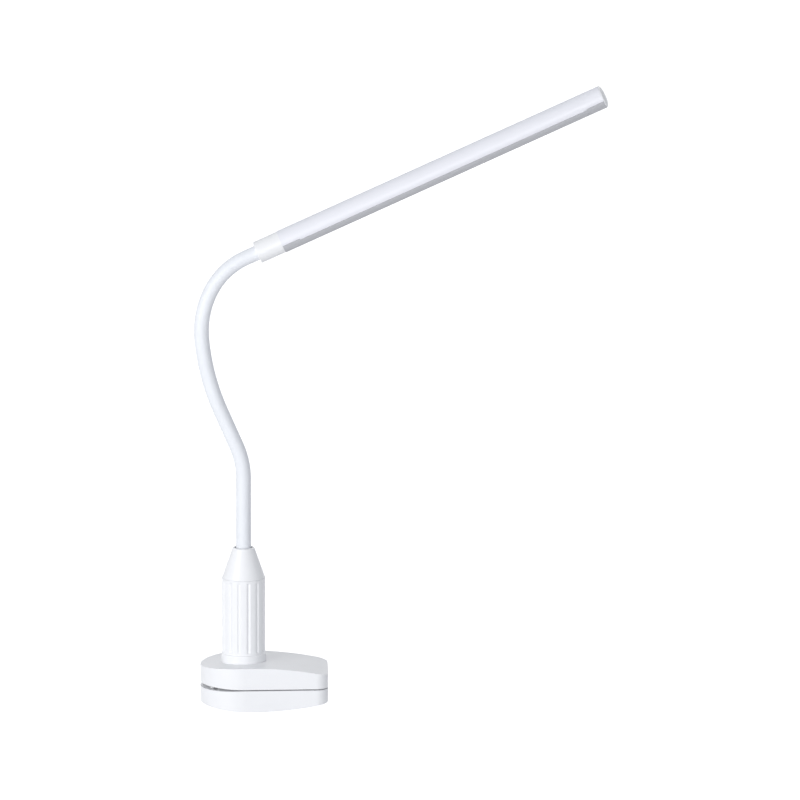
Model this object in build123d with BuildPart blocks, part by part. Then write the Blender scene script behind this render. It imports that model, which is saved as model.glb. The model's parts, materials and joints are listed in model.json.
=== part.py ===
"""Clip-on LED reading lamp: spring clip, fluted post, flexible neck and round light bar.

Millimetres, +Z up. The origin lies on the grip plane between the two jaws, under the axis of the post.
+X runs from the post towards the mouth of the clip, so the light bar reaches out over the mouth.
"""
import os
from math import cos, pi, radians, sin, sqrt, tan

from build123d import *

os.makedirs("parts", exist_ok=True)

# Clip jaws: the plan is a round tail about the post axis, tapering sides and a slightly bowed mouth
TAIL_RADIUS = 30.0
MOUTH_REACH = 58.3
SIDE_TAPER = 2.4
MOUTH_BOW = 0.4
MOUTH_CORNER = 8.5
CROWN_HEIGHT = 15.45
CROWN_RADIUS = 250.0
CROWN_CENTRE = 5.5
CROWN_EDGE = 1.2
JAW_WALL = 2.2
JAW_ROOF = 2.4
JAW_GAP = 0.8

# Wedge between the jaws at the tail, which gives the jaws room to turn
UPPER_WEDGE_START = -8.0
UPPER_TAIL_RISE = 0.6
LOWER_WEDGE_START = 0.0
LOWER_TAIL_DROP = 1.65

# Inner plates of the jaws, their grip pads and screws
PLATE_THICKNESS = 2.0
PLATE_FIT = 0.15
PAD_FROM_MOUTH = 11.3
PAD_LENGTH = 26.0
PAD_WIDTH = 34.0
PAD_SEAT = 1.2
PAD_PROUD = 0.25
PAD_FIT = 0.1
PAD_GROOVES = 6
PAD_GROOVE_WIDTH = 1.2
PAD_GROOVE_DEPTH = 0.6
JAW_SCREW_REAR_X = 6.0
JAW_SCREW_FROM_MOUTH = 8.3
JAW_SCREW_FROM_SIDE = 8.3
JAW_SCREW_D = 3.0
JAW_SCREW_HEAD_D = 5.6
JAW_SCREW_LENGTH = 6.0
JAW_BOSS_D = 7.0
SCREW_FIT = 0.1
HEAD_RECESS = 0.05

# Clip hinge: pin, ears and torsion spring
HINGE_FROM_TAIL = 11.0
HINGE_PIN_D = 4.4
PIN_FIT = 0.05
PIN_END_SINK = 0.1
EAR_RADIUS = 4.2
EAR_THICKNESS = 2.6
EAR_SIDE_GAP = 0.3
EAR_WINDOW_GAP = 0.7
SPRING_WIRE = 1.8
SPRING_PITCH = 2.35
SPRING_TURNS = 4
SPRING_LEG = 17.0
SPRING_SEAT_GAP = 0.05
SPRING_EAR_GAP = 1.0

# Post: ring, fluted sleeve and cone
RING_D = 31.0
RING_TOP = 21.0
RING_EDGE = 0.6
RING_FLOOR = 2.4
POST_SEAT = 13.6
POST_SEAT_THICKNESS = 3.2
POST_SEAT_BOSS_D = 36.0
POST_SEAT_FIT = 0.1
POST_D = 30.0
POST_WALL = 2.2
SPIGOT_LENGTH = 5.0
SPIGOT_FIT = 0.1
FLUTES = 14
FLUTE_WIDTH = 2.4
FLUTE_DEPTH = 0.7
FLUTE_FOOT = 1.0
CONE_HEIGHT = 21.3
CONE_BORE_DEPTH = 7.1
CONE_TOP_D = 15.0
CONE_BORE_D = 12.5
CONE_RIM = 0.8
POST_WIRE_HOLE_D = 6.0
POST_SCREW_D = 2.6
POST_SCREW_CIRCLE_D = 25.0
POST_SCREW_BITE = 5.0
POST_SCREW_HEAD_D = 4.6
POST_SCREW_HEAD = 1.8

# Cell and its contacts
CELL_D = 18.4
CELL_LENGTH = 65.0
CELL_BUTTON_D = 6.0
CELL_BUTTON = 1.0
CELL_FIT = 0.4
CONTACT_PLATE = 0.5
CONTACT_RISE = 1.0
CONTACT_D = 14.0

# Control board, charging socket, switch and button on the back wall of the upper jaw
BOARD_BOSS_GAP = 2.5
BOARD_FRONT = -10.0
BOARD_WALL_GAP = 1.9
BOARD_THICKNESS = 1.6
BOARD_STANDOFF = 1.6
BOARD_STANDOFF_D = 5.0
BOARD_SCREW_INSET = 4.0
BOARD_SCREW_D = 2.0
BOARD_SCREW_HEAD_D = 3.6
BOARD_SCREW_HEAD = 1.2
SOCKET_FROM_BOARD_START = 8.0
SOCKET_WIDTH = 9.0
SOCKET_HEIGHT = 3.2
SOCKET_LENGTH = 9.0
SOCKET_DEPTH = 7.2
SOCKET_SKIN = 0.35
SOCKET_SLOT_FIT = 0.3
SOCKET_SINK = 0.5
SOCKET_TONGUE = 0.7
BUTTON_FROM_SOCKET = 12.0
BUTTON_D = 4.6
BUTTON_FLANGE_D = 6.2
BUTTON_FLANGE = 1.0
BUTTON_PROUD = 1.0
BUTTON_FIT = 0.3
BUTTON_WALL_GAP = 0.3
BUTTON_TRAVEL = 0.6
BUTTON_REST_GAP = 0.1
SWITCH_SIZE = 3.8
SWITCH_DEPTH = 3.4
SWITCH_PLUNGER_D = 2.4
SWITCH_PLUNGER = 1.0

# Neck: it rises from the cone, leans back over the tail, returns, arches over and runs out to the light bar
NECK_FOOT_RUN = 48.6
NECK_LEAN_RADIUS = 56.6
NECK_LEAN_ANGLE = 23.7
NECK_LEAN_RUN = 27.0
NECK_RETURN_RADIUS = 161.0
NECK_RETURN_ANGLE = 18.9
NECK_ARCH_RADIUS = 63.0
NECK_ARCH_ANGLE = 31.5
NECK_CROOK_RADIUS = 50.0
NECK_CROOK_ANGLE = 38.7
NECK_HEAD_RUN = 8.8
NECK_JOINTS = 5
SLEEVE_D = 10.4
SLEEVE_WALL = 1.25
HOSE_D = 7.6
HOSE_WALL = 1.5
HOSE_JOINT_GAP = 3.2
CABLE_D = 2.8
FERRULE_FIT = 0.05
NUT_CELL_GAP = 0.5
FERRULE_TOP_SINK = 3.0
NUT_ACROSS_FLATS = 14.0
NUT_HEIGHT = 3.4
NUT_FIT = 0.5
HOSE_TAIL = 1.0

# Light bar
BAR_D = 16.2
BAR_WALL = 1.4
BAR_LENGTH = 243.0
COLLAR_D = 15.7
COLLAR_LENGTH = 18.3
COLLAR_EDGE = 0.6
COLLAR_SLEEVE_DEPTH = 6.0
COLLAR_FIT = 0.15
BAR_FERRULE_LENGTH = 8.0
PLUG_LENGTH = 8.0
PLUG_FIT = 0.2
DIFFUSER_HALF_ANGLE = 70.6
DIFFUSER_WALL = 1.2
DIFFUSER_FIT = 0.1
END_BLOCK_LENGTH = 13.0
END_BLOCK_HALF_ANGLE = 77.0
WEB_THICKNESS = 1.2
WEB_DROP = 0.2
LED_BOARD_WIDTH = 10.0
LED_BOARD_THICKNESS = 1.2
LED_COUNT = 30
LED_SIZE = 2.8
LED_HEIGHT = 0.7
CAP_LENGTH = 2.6
CAP_RIM = 0.8
CAP_EDGE = 0.5

# Places that follow from the sizes above
PLATE_FACE = JAW_GAP / 2
PLATE_TOP = PLATE_FACE + PLATE_THICKNESS
PAD_START = MOUTH_REACH - PAD_FROM_MOUTH - PAD_LENGTH
HINGE_X = HINGE_FROM_TAIL - TAIL_RADIUS
SPRING_RADIUS = PLATE_TOP + SPRING_SEAT_GAP + SPRING_WIRE / 2
SPRING_LENGTH = SPRING_PITCH * (SPRING_TURNS + 0.5)
LOWER_EAR_IN = (SPRING_LENGTH + SPRING_WIRE) / 2 + SPRING_EAR_GAP
LOWER_EAR_OUT = LOWER_EAR_IN + EAR_THICKNESS
UPPER_EAR_IN = LOWER_EAR_OUT + EAR_SIDE_GAP
UPPER_EAR_OUT = UPPER_EAR_IN + EAR_THICKNESS
EAR_WINDOW_WIDTH = 2 * (EAR_RADIUS + EAR_WINDOW_GAP)
CELL_POCKET_R = CELL_D / 2 + CELL_FIT
SPIGOT_R = POST_D / 2 - POST_WALL - SPIGOT_FIT
CONTACT_HEIGHT = CONTACT_PLATE + CONTACT_RISE
CELL_FOOT = POST_SEAT + RING_FLOOR + CONTACT_HEIGHT
CELL_HEAD = CELL_FOOT + CELL_LENGTH
CELL_LEDGE = CELL_HEAD + CONTACT_HEIGHT
NUT_POCKET_R = NUT_ACROSS_FLATS / sqrt(3) + NUT_FIT
NUT_FOOT = CELL_LEDGE + NUT_CELL_GAP
NUT_SHOULDER = NUT_FOOT + NUT_HEIGHT
CONE_TOP = NUT_SHOULDER + CONE_BORE_DEPTH
POST_SHOULDER = CONE_TOP - CONE_HEIGHT
FERRULE_TOP = CONE_TOP - FERRULE_TOP_SINK
BOARD_BASE = PLATE_TOP + BOARD_STANDOFF
BOARD_TOP = BOARD_BASE + BOARD_THICKNESS
SOCKET_Z = BOARD_TOP + SOCKET_HEIGHT / 2
SWITCH_Z = BOARD_TOP + SWITCH_SIZE / 2
COLUMN = 4 * CROWN_HEIGHT
NECK_COURSE = [
    (NECK_FOOT_RUN, NECK_LEAN_RADIUS, -NECK_LEAN_ANGLE),
    (NECK_LEAN_RUN, NECK_RETURN_RADIUS, NECK_RETURN_ANGLE),
    (0, NECK_ARCH_RADIUS, NECK_ARCH_ANGLE),
    (0, NECK_CROOK_RADIUS, NECK_CROOK_ANGLE),
    (NECK_HEAD_RUN, 0, 0),
]


def save(piece, name):
    """Label a finished piece and write it as its own node."""
    piece.label = name
    export_step(piece, f"parts/{name}.step")


def crown_z(x):
    """Height of the crowned outer face of a jaw above the grip plane."""
    return CROWN_HEIGHT - CROWN_RADIUS + sqrt(CROWN_RADIUS**2 - (x - CROWN_CENTRE) ** 2)


def side_y(x, inset=0.0):
    """Half width of a jaw at x, measured to its side wall or to a line inside that wall."""
    slope = radians(SIDE_TAPER)
    return (TAIL_RADIUS - inset) / cos(slope) - x * tan(slope)


JAW_SCREW_FRONT_X = MOUTH_REACH - JAW_SCREW_FROM_MOUTH
JAW_SCREW_POINTS = [
    (x, side * (side_y(x) - JAW_SCREW_FROM_SIDE))
    for x in (JAW_SCREW_REAR_X, JAW_SCREW_FRONT_X)
    for side in (1, -1)
]
BOARD_START = JAW_SCREW_REAR_X + JAW_BOSS_D / 2 + BOARD_BOSS_GAP
BOARD_END = JAW_SCREW_FRONT_X - JAW_BOSS_D / 2 - BOARD_BOSS_GAP
BOARD_LENGTH = BOARD_END - BOARD_START
SOCKET_X = BOARD_START + SOCKET_FROM_BOARD_START
BUTTON_X = SOCKET_X + BUTTON_FROM_SOCKET
BOARD_BACK = side_y(BOARD_END, JAW_WALL) - BOARD_WALL_GAP
BOARD_SCREW_POINTS = [
    (x, BOARD_FRONT + BOARD_SCREW_INSET)
    for x in (BOARD_START + BOARD_SCREW_INSET, BOARD_END - BOARD_SCREW_INSET)
]


def jaw_outline(inset=0.0):
    """Plan of a jaw, or a line that runs a set distance inside it."""
    tail = TAIL_RADIUS - inset
    mouth = MOUTH_REACH - inset
    touch = (tail * sin(radians(SIDE_TAPER)), tail * cos(radians(SIDE_TAPER)))
    corner = (mouth - MOUTH_BOW, side_y(mouth - MOUTH_BOW, inset))
    with BuildSketch() as outline:
        with BuildLine():
            ThreePointArc(touch, (-tail, 0), (touch[0], -touch[1]))
            Line((touch[0], -touch[1]), (corner[0], -corner[1]))
            ThreePointArc((corner[0], -corner[1]), (mouth, 0), corner)
            Line(corner, touch)
        make_face()
        fillet(outline.vertices().group_by(Axis.X)[-1], MOUTH_CORNER - inset)
    return outline.sketch


def jaw_block(inset, drop):
    """Solid between a jaw's face and its crown, a set distance inside the side walls and the crown."""
    with BuildPart() as block:
        with BuildSketch(Plane.XY.offset(PLATE_FACE)):
            add(jaw_outline(inset))
        extrude(amount=COLUMN)
        with BuildSketch(Plane.XZ):
            with Locations((CROWN_CENTRE, CROWN_HEIGHT - CROWN_RADIUS)):
                Circle(CROWN_RADIUS - drop)
        extrude(amount=2 * TAIL_RADIUS, both=True, mode=Mode.INTERSECT)
        if drop == 0:
            fillet(block.faces().sort_by(Axis.Z)[-1].edges(), CROWN_EDGE)
    return block.part


def wedge(start, rise):
    """Tool that slopes a jaw's face away from the other jaw, from the start of the wedge to the tail."""
    reach = 2 * TAIL_RADIUS
    far = PLATE_FACE + rise * (reach + start) / (TAIL_RADIUS + start)
    with BuildPart() as tool:
        with BuildSketch(Plane.XZ):
            Polygon((start, PLATE_FACE), (-reach, far), (-reach, 0), (start, 0), align=None)
        extrude(amount=reach, both=True)
    return tool.part


def jaw_shell(wedge_tool):
    """Outer moulding of a jaw, open on the grip side, with a boss for each screw."""
    with BuildPart() as shell:
        add(jaw_block(0, 0))
        add(jaw_block(JAW_WALL, JAW_ROOF), mode=Mode.SUBTRACT)
        for x, y in JAW_SCREW_POINTS:
            with BuildSketch(Plane.XY.offset(PLATE_TOP)):
                with Locations((x, y)):
                    Circle(JAW_BOSS_D / 2)
            extrude(amount=crown_z(x) - JAW_ROOF / 2 - PLATE_TOP)
        with BuildSketch(Plane.XY.offset(PLATE_TOP)):
            with Locations(*JAW_SCREW_POINTS):
                Circle(JAW_SCREW_D / 2 + SCREW_FIT)
        extrude(amount=JAW_SCREW_LENGTH - PLATE_THICKNESS + SCREW_FIT, mode=Mode.SUBTRACT)
        add(wedge_tool, mode=Mode.SUBTRACT)
    return shell.part


def hinge_ears(ear_in):
    """Pair of hinge ears that reach from a plate round the hinge pin."""
    with BuildPart() as ears:
        with BuildSketch(Plane.XZ.offset(ear_in)):
            with Locations((HINGE_X, 0)):
                Circle(EAR_RADIUS)
                Rectangle(2 * EAR_RADIUS, PLATE_TOP, align=(Align.CENTER, Align.MIN))
        extrude(amount=EAR_THICKNESS)
        mirror(about=Plane.XZ)
    return ears.part


def ear_window(y_in, y_out):
    """Tool for a hole in a plate at the hinge, between two distances from the middle on both sides."""
    with BuildPart() as window:
        with BuildSketch(Plane.XZ.offset(y_in)):
            with Locations((HINGE_X, 0)):
                Rectangle(EAR_WINDOW_WIDTH, 2 * COLUMN)
        extrude(amount=y_out - y_in)
        mirror(about=Plane.XZ)
    return window.part


def jaw_plate(wedge_tool, ear_in, windows):
    """Inner plate of a jaw with its pad seat, countersunk screw holes and hinge ears."""
    with BuildPart() as plate:
        with BuildSketch(Plane.XY.offset(PLATE_FACE)):
            add(jaw_outline(JAW_WALL + PLATE_FIT))
        extrude(amount=PLATE_THICKNESS)
        with BuildSketch(Plane.XY.offset(PLATE_FACE)):
            with Locations((PAD_START + PAD_LENGTH / 2, 0)):
                Rectangle(PAD_LENGTH + 2 * PAD_FIT, PAD_WIDTH + 2 * PAD_FIT)
        extrude(amount=PAD_SEAT, mode=Mode.SUBTRACT)
        add(jaw_screws(SCREW_FIT, 0), mode=Mode.SUBTRACT)
        add(wedge_tool, mode=Mode.SUBTRACT)
        for window in windows:
            add(window, mode=Mode.SUBTRACT)
        add(hinge_ears(ear_in))
        with BuildSketch(Plane.XZ):
            with Locations((HINGE_X, 0)):
                Circle(HINGE_PIN_D / 2 + PIN_FIT)
        extrude(amount=TAIL_RADIUS, both=True, mode=Mode.SUBTRACT)
    return plate.part


def jaw_screws(fit, recess):
    """Countersunk screws from a plate into the bosses of its shell, or the holes for them."""
    cone_height = (JAW_SCREW_HEAD_D - JAW_SCREW_D) / 2
    foot = PLATE_FACE + recess
    with BuildPart() as screws:
        with BuildSketch(Plane.XY.offset(foot)):
            with Locations(*JAW_SCREW_POINTS):
                Circle(JAW_SCREW_D / 2 + fit)
        extrude(amount=JAW_SCREW_LENGTH)
        with Locations(*[(x, y, foot) for x, y in JAW_SCREW_POINTS]):
            Cone(
                JAW_SCREW_HEAD_D / 2 + fit, JAW_SCREW_D / 2 + fit, cone_height,
                align=(Align.CENTER, Align.CENTER, Align.MIN),
            )
    return screws.part


def grip_pad():
    """Rubber pad in a plate's seat, with grooves across it, standing a little proud of the plate."""
    face = PLATE_FACE - PAD_PROUD
    step = PAD_LENGTH / PAD_GROOVES
    with BuildPart() as pad:
        with BuildSketch(Plane.XY.offset(face)):
            with Locations((PAD_START + PAD_LENGTH / 2, 0)):
                Rectangle(PAD_LENGTH, PAD_WIDTH)
        extrude(amount=PAD_SEAT + PAD_PROUD)
        with BuildSketch(Plane.XY.offset(face)):
            with Locations((PAD_START + PAD_LENGTH / 2, 0)):
                with GridLocations(step, 0, PAD_GROOVES, 1):
                    Rectangle(PAD_GROOVE_WIDTH, PAD_WIDTH)
        extrude(amount=PAD_GROOVE_DEPTH, mode=Mode.SUBTRACT)
    return pad.part


def turned_over(piece):
    """The same piece on the other side of the grip plane."""
    with BuildPart() as other:
        add(piece)
        mirror(about=Plane.XY, mode=Mode.REPLACE)
    return other.part


# Upper jaw of the clip
upper_wedge = wedge(UPPER_WEDGE_START, UPPER_TAIL_RISE)
button_wall = side_y(BUTTON_X)
button_wall_in = side_y(BUTTON_X, JAW_WALL)
flange_front = button_wall_in - BUTTON_WALL_GAP
flange_back = flange_front - BUTTON_FLANGE
socket_front = side_y(SOCKET_X) - SOCKET_SINK


def back_plane(y):
    """Plane that faces the back of the clip, with x to the tail and y up."""
    return Plane(origin=(0, y, 0), x_dir=(-1, 0, 0), z_dir=(0, 1, 0))


with BuildPart() as upper_jaw_shell:
    add(jaw_shell(upper_wedge))
    with BuildSketch(Plane.XY.offset(POST_SEAT - POST_SEAT_THICKNESS)):
        Circle(POST_SEAT_BOSS_D / 2)
    extrude(amount=POST_SEAT_THICKNESS)
    with BuildSketch(Plane.XY.offset(POST_SEAT)):
        Circle(RING_D / 2 + POST_SEAT_FIT)
    extrude(amount=COLUMN, mode=Mode.SUBTRACT)
    with BuildSketch():
        Circle(POST_WIRE_HOLE_D / 2)
        with PolarLocations(POST_SCREW_CIRCLE_D / 2, 3, start_angle=90):
            Circle(POST_SCREW_D / 2 + SCREW_FIT)
    extrude(amount=COLUMN, mode=Mode.SUBTRACT)
    with BuildSketch(back_plane(BOARD_BACK)):
        with Locations((-BUTTON_X, SWITCH_Z)):
            Circle(BUTTON_D / 2 + BUTTON_FIT)
        with Locations((-SOCKET_X, SOCKET_Z)):
            SlotOverall(SOCKET_WIDTH + 2 * SOCKET_SLOT_FIT, SOCKET_HEIGHT + 2 * SOCKET_SLOT_FIT)
    extrude(amount=TAIL_RADIUS, mode=Mode.SUBTRACT)
save(upper_jaw_shell.part, "upper_jaw_shell")

with BuildPart() as upper_jaw_plate:
    add(jaw_plate(upper_wedge, UPPER_EAR_IN, [ear_window(0, UPPER_EAR_IN)]))
    with BuildSketch(Plane.XY.offset(PLATE_TOP)):
        with Locations(*BOARD_SCREW_POINTS):
            Circle(BOARD_STANDOFF_D / 2)
            Circle(BOARD_SCREW_D / 2 + SCREW_FIT, mode=Mode.SUBTRACT)
    extrude(amount=BOARD_STANDOFF)
save(upper_jaw_plate.part, "upper_jaw_plate")

upper_grip_pad = grip_pad()
save(upper_grip_pad, "upper_grip_pad")

upper_jaw_screws = jaw_screws(0, HEAD_RECESS)
save(upper_jaw_screws, "upper_jaw_screws")

# Lower jaw of the clip, the same mouldings turned over, without the post and the board
lower_wedge = wedge(LOWER_WEDGE_START, LOWER_TAIL_DROP)
lower_windows = [ear_window(0, LOWER_EAR_IN), ear_window(LOWER_EAR_OUT, UPPER_EAR_OUT + EAR_SIDE_GAP)]
save(turned_over(jaw_shell(lower_wedge)), "lower_jaw_shell")
save(turned_over(jaw_plate(lower_wedge, LOWER_EAR_IN, lower_windows)), "lower_jaw_plate")
save(turned_over(upper_grip_pad), "lower_grip_pad")
save(turned_over(upper_jaw_screws), "lower_jaw_screws")

# Hinge pin, held in the ears of the upper plate
with BuildPart() as hinge_pin:
    with BuildSketch(Plane.XZ):
        with Locations((HINGE_X, 0)):
            Circle(HINGE_PIN_D / 2)
    extrude(amount=UPPER_EAR_OUT - PIN_END_SINK, both=True)
save(hinge_pin.part, "hinge_pin")


# Torsion spring round the pin: each leg runs towards the mouth and presses its plate on the other
def coil_point(turn):
    """Middle of the wire after a number of turns from the top of the coil."""
    angle = pi / 2 + 2 * pi * turn
    y = SPRING_PITCH * turn - SPRING_LENGTH / 2
    return Vector(HINGE_X + SPRING_RADIUS * cos(angle), y, SPRING_RADIUS * sin(angle))


def coil_direction(turn):
    """Direction of the wire there. At both ends it is the direction of the leg, along X."""
    if turn == 0:
        return Vector(-1, 0, 0)
    if turn == SPRING_TURNS + 0.5:
        return Vector(1, 0, 0)
    angle = pi / 2 + 2 * pi * turn
    climb = SPRING_PITCH / (2 * pi)
    return Vector(-SPRING_RADIUS * sin(angle), climb, SPRING_RADIUS * cos(angle)).normalized()


def biarc(start, start_way, end, end_way):
    """Two arcs that join two points smoothly, leaving and arriving in the given directions."""
    span = end - start
    both = start_way + end_way
    spread = 2 * (1 - start_way.dot(end_way))
    along = span.dot(both)
    reach = (sqrt(along**2 + spread * span.dot(span)) - along) / spread
    middle = (start + end + (start_way - end_way) * reach) * 0.5
    middle_way = (end - end_way * reach - start - start_way * reach).normalized()
    TangentArc(start, middle, tangent=start_way)
    TangentArc(middle, end, tangent=middle_way)


coil_turns = [step / 4 for step in range(4 * SPRING_TURNS + 3)]
leg_ends = [coil_point(coil_turns[0]), coil_point(coil_turns[-1])]
leg_run = Vector(SPRING_LEG, 0, 0)

with BuildPart() as clip_spring:
    with BuildLine() as spring_course:
        Line(leg_ends[0] + leg_run, leg_ends[0])
        for near, far in zip(coil_turns, coil_turns[1:]):
            biarc(coil_point(near), coil_direction(near), coil_point(far), coil_direction(far))
        Line(leg_ends[1], leg_ends[1] + leg_run)
    with BuildSketch(Plane(origin=leg_ends[0] + leg_run, z_dir=(-1, 0, 0))):
        Circle(SPRING_WIRE / 2)
    sweep(path=spring_course.line)
save(clip_spring.part, "clip_spring")

coil_steps = [coil_point(SPRING_TURNS * step / 200) for step in range(201)]
one_turn = 200 // SPRING_TURNS
nearest = min(
    (a - b).length
    for i, a in enumerate(coil_steps)
    for b in coil_steps[i + one_turn // 2:]
)
print(f"clip_spring: least gap to itself {nearest - SPRING_WIRE:.2f} mm")

# Post: the ring stands in the seat of the upper jaw, the sleeve and the cone fit over the spigots
with BuildPart() as post_ring:
    with BuildSketch(Plane.XY.offset(POST_SEAT)):
        Circle(RING_D / 2)
    extrude(amount=RING_TOP - POST_SEAT)
    fillet(post_ring.faces().sort_by(Axis.Z)[-1].edges(), RING_EDGE)
    with BuildSketch(Plane.XY.offset(RING_TOP)):
        Circle(SPIGOT_R)
    extrude(amount=SPIGOT_LENGTH)
    with BuildSketch(Plane.XY.offset(POST_SEAT + RING_FLOOR)):
        Circle(CELL_POCKET_R)
    extrude(amount=RING_TOP, mode=Mode.SUBTRACT)
    with BuildSketch(Plane.XY.offset(POST_SEAT)):
        Circle(POST_WIRE_HOLE_D / 2)
    extrude(amount=RING_FLOOR, mode=Mode.SUBTRACT)
    with BuildSketch(Plane.XY.offset(POST_SEAT)):
        with PolarLocations(POST_SCREW_CIRCLE_D / 2, 3, start_angle=90):
            Circle(POST_SCREW_D / 2 + SCREW_FIT)
    extrude(amount=POST_SCREW_BITE + SCREW_FIT, mode=Mode.SUBTRACT)
save(post_ring.part, "post_ring")

flute_r = (FLUTE_WIDTH**2 / 4 + FLUTE_DEPTH**2) / (2 * FLUTE_DEPTH)
with BuildPart() as post_sleeve:
    with BuildSketch(Plane.XY.offset(RING_TOP)):
        Circle(POST_D / 2)
        Circle(POST_D / 2 - POST_WALL, mode=Mode.SUBTRACT)
    extrude(amount=POST_SHOULDER - RING_TOP)
    with BuildSketch(Plane.XY.offset(RING_TOP + FLUTE_FOOT)):
        with PolarLocations(POST_D / 2 - FLUTE_DEPTH + flute_r, FLUTES, start_angle=180 / FLUTES - 90):
            Circle(flute_r)
    extrude(amount=POST_SHOULDER - RING_TOP, mode=Mode.SUBTRACT)
save(post_sleeve.part, "post_sleeve")

with BuildPart() as post_cone:
    with BuildSketch(Plane.XZ):
        Polygon(
            (SPIGOT_R, POST_SHOULDER - SPIGOT_LENGTH),
            (SPIGOT_R, POST_SHOULDER),
            (POST_D / 2, POST_SHOULDER),
            (CONE_TOP_D / 2, CONE_TOP),
            (CONE_BORE_D / 2, CONE_TOP),
            (CONE_BORE_D / 2, NUT_SHOULDER),
            (NUT_POCKET_R, NUT_SHOULDER),
            (NUT_POCKET_R, CELL_LEDGE),
            (CELL_POCKET_R, CELL_LEDGE),
            (CELL_POCKET_R, POST_SHOULDER - SPIGOT_LENGTH),
            align=None,
        )
    revolve(axis=Axis.Z)
    rim = post_cone.edges().filter_by(GeomType.CIRCLE).group_by(Axis.Z)[-1].sort_by(SortBy.RADIUS)[-1]
    fillet(rim, CONE_RIM)
save(post_cone.part, "post_cone")

seat_underside = POST_SEAT - POST_SEAT_THICKNESS
with BuildPart() as post_screws:
    with BuildSketch(Plane.XY.offset(seat_underside)):
        with PolarLocations(POST_SCREW_CIRCLE_D / 2, 3, start_angle=90):
            Circle(POST_SCREW_D / 2)
    extrude(amount=POST_SEAT_THICKNESS + POST_SCREW_BITE)
    with BuildSketch(Plane.XY.offset(seat_underside)):
        with PolarLocations(POST_SCREW_CIRCLE_D / 2, 3, start_angle=90):
            Circle(POST_SCREW_HEAD_D / 2)
    extrude(amount=-POST_SCREW_HEAD)
save(post_screws.part, "post_screws")

# Cell in the post, between a contact on the floor of the ring and one under the ledge of the cone
with BuildPart() as battery_cell:
    with BuildSketch(Plane.XY.offset(CELL_FOOT)):
        Circle(CELL_D / 2)
    extrude(amount=CELL_LENGTH - CELL_BUTTON)
    with BuildSketch(Plane.XY.offset(CELL_HEAD - CELL_BUTTON)):
        Circle(CELL_BUTTON_D / 2)
    extrude(amount=CELL_BUTTON)
save(battery_cell.part, "battery_cell")

with BuildPart() as cell_contact_lower:
    with BuildSketch(Plane.XY.offset(POST_SEAT + RING_FLOOR)):
        Circle(CONTACT_D / 2)
    extrude(amount=CONTACT_PLATE)
    with BuildSketch(Plane.XY.offset(CELL_FOOT)):
        Circle(CELL_BUTTON_D / 2)
    extrude(amount=-CONTACT_RISE)
save(cell_contact_lower.part, "cell_contact_lower")

with BuildPart() as cell_contact_upper:
    with BuildSketch(Plane.XY.offset(CELL_LEDGE)):
        Circle(CELL_POCKET_R - SPIGOT_FIT)
    extrude(amount=-CONTACT_PLATE)
    with BuildSketch(Plane.XY.offset(CELL_HEAD)):
        Circle(CELL_BUTTON_D / 2)
    extrude(amount=CONTACT_RISE)
save(cell_contact_upper.part, "cell_contact_upper")

# Control board in the upper jaw, with the charging socket and the switch at the back wall
with BuildPart() as control_board:
    with BuildSketch(Plane.XY.offset(BOARD_BASE)):
        with Locations((BOARD_START, BOARD_FRONT)):
            Rectangle(BOARD_LENGTH, BOARD_BACK - BOARD_FRONT, align=(Align.MIN, Align.MIN))
        with Locations(*BOARD_SCREW_POINTS):
            Circle(BOARD_SCREW_D / 2 + SCREW_FIT, mode=Mode.SUBTRACT)
    extrude(amount=BOARD_THICKNESS)
save(control_board.part, "control_board")

with BuildPart() as board_screws:
    with BuildSketch(Plane.XY.offset(PLATE_TOP)):
        with Locations(*BOARD_SCREW_POINTS):
            Circle(BOARD_SCREW_D / 2)
    extrude(amount=BOARD_TOP - PLATE_TOP)
    with BuildSketch(Plane.XY.offset(BOARD_TOP)):
        with Locations(*BOARD_SCREW_POINTS):
            Circle(BOARD_SCREW_HEAD_D / 2)
    extrude(amount=BOARD_SCREW_HEAD)
save(board_screws.part, "board_screws")

with BuildPart() as charging_socket:
    with BuildSketch(back_plane(socket_front)):
        with Locations((-SOCKET_X, SOCKET_Z)):
            SlotOverall(SOCKET_WIDTH, SOCKET_HEIGHT)
    extrude(amount=-SOCKET_LENGTH)
    with BuildSketch(back_plane(socket_front)):
        with Locations((-SOCKET_X, SOCKET_Z)):
            SlotOverall(SOCKET_WIDTH - 2 * SOCKET_SKIN, SOCKET_HEIGHT - 2 * SOCKET_SKIN)
            Rectangle(SOCKET_WIDTH - SOCKET_HEIGHT, SOCKET_TONGUE, mode=Mode.SUBTRACT)
    extrude(amount=-SOCKET_DEPTH, mode=Mode.SUBTRACT)
save(charging_socket.part, "charging_socket")

plunger_tip = flange_back - BUTTON_TRAVEL - BUTTON_REST_GAP
with BuildPart() as push_switch:
    with BuildSketch(back_plane(plunger_tip - SWITCH_PLUNGER)):
        with Locations((-BUTTON_X, SWITCH_Z)):
            Rectangle(SWITCH_SIZE, SWITCH_SIZE)
    extrude(amount=-SWITCH_DEPTH)
    with BuildSketch(back_plane(plunger_tip)):
        with Locations((-BUTTON_X, SWITCH_Z)):
            Circle(SWITCH_PLUNGER_D / 2)
    extrude(amount=-SWITCH_PLUNGER)
save(push_switch.part, "push_switch")

with BuildPart() as power_button:
    with BuildSketch(back_plane(flange_front)):
        with Locations((-BUTTON_X, SWITCH_Z)):
            Circle(BUTTON_D / 2)
    extrude(amount=button_wall + BUTTON_PROUD - flange_front)
    fillet(power_button.faces().sort_by(Axis.Y)[-1].edges(), BUTTON_PROUD / 2)
    with BuildSketch(back_plane(flange_back)):
        with Locations((-BUTTON_X, SWITCH_Z)):
            Circle(BUTTON_FLANGE_D / 2)
    extrude(amount=BUTTON_FLANGE)
save(power_button.part, "power_button")


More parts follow.
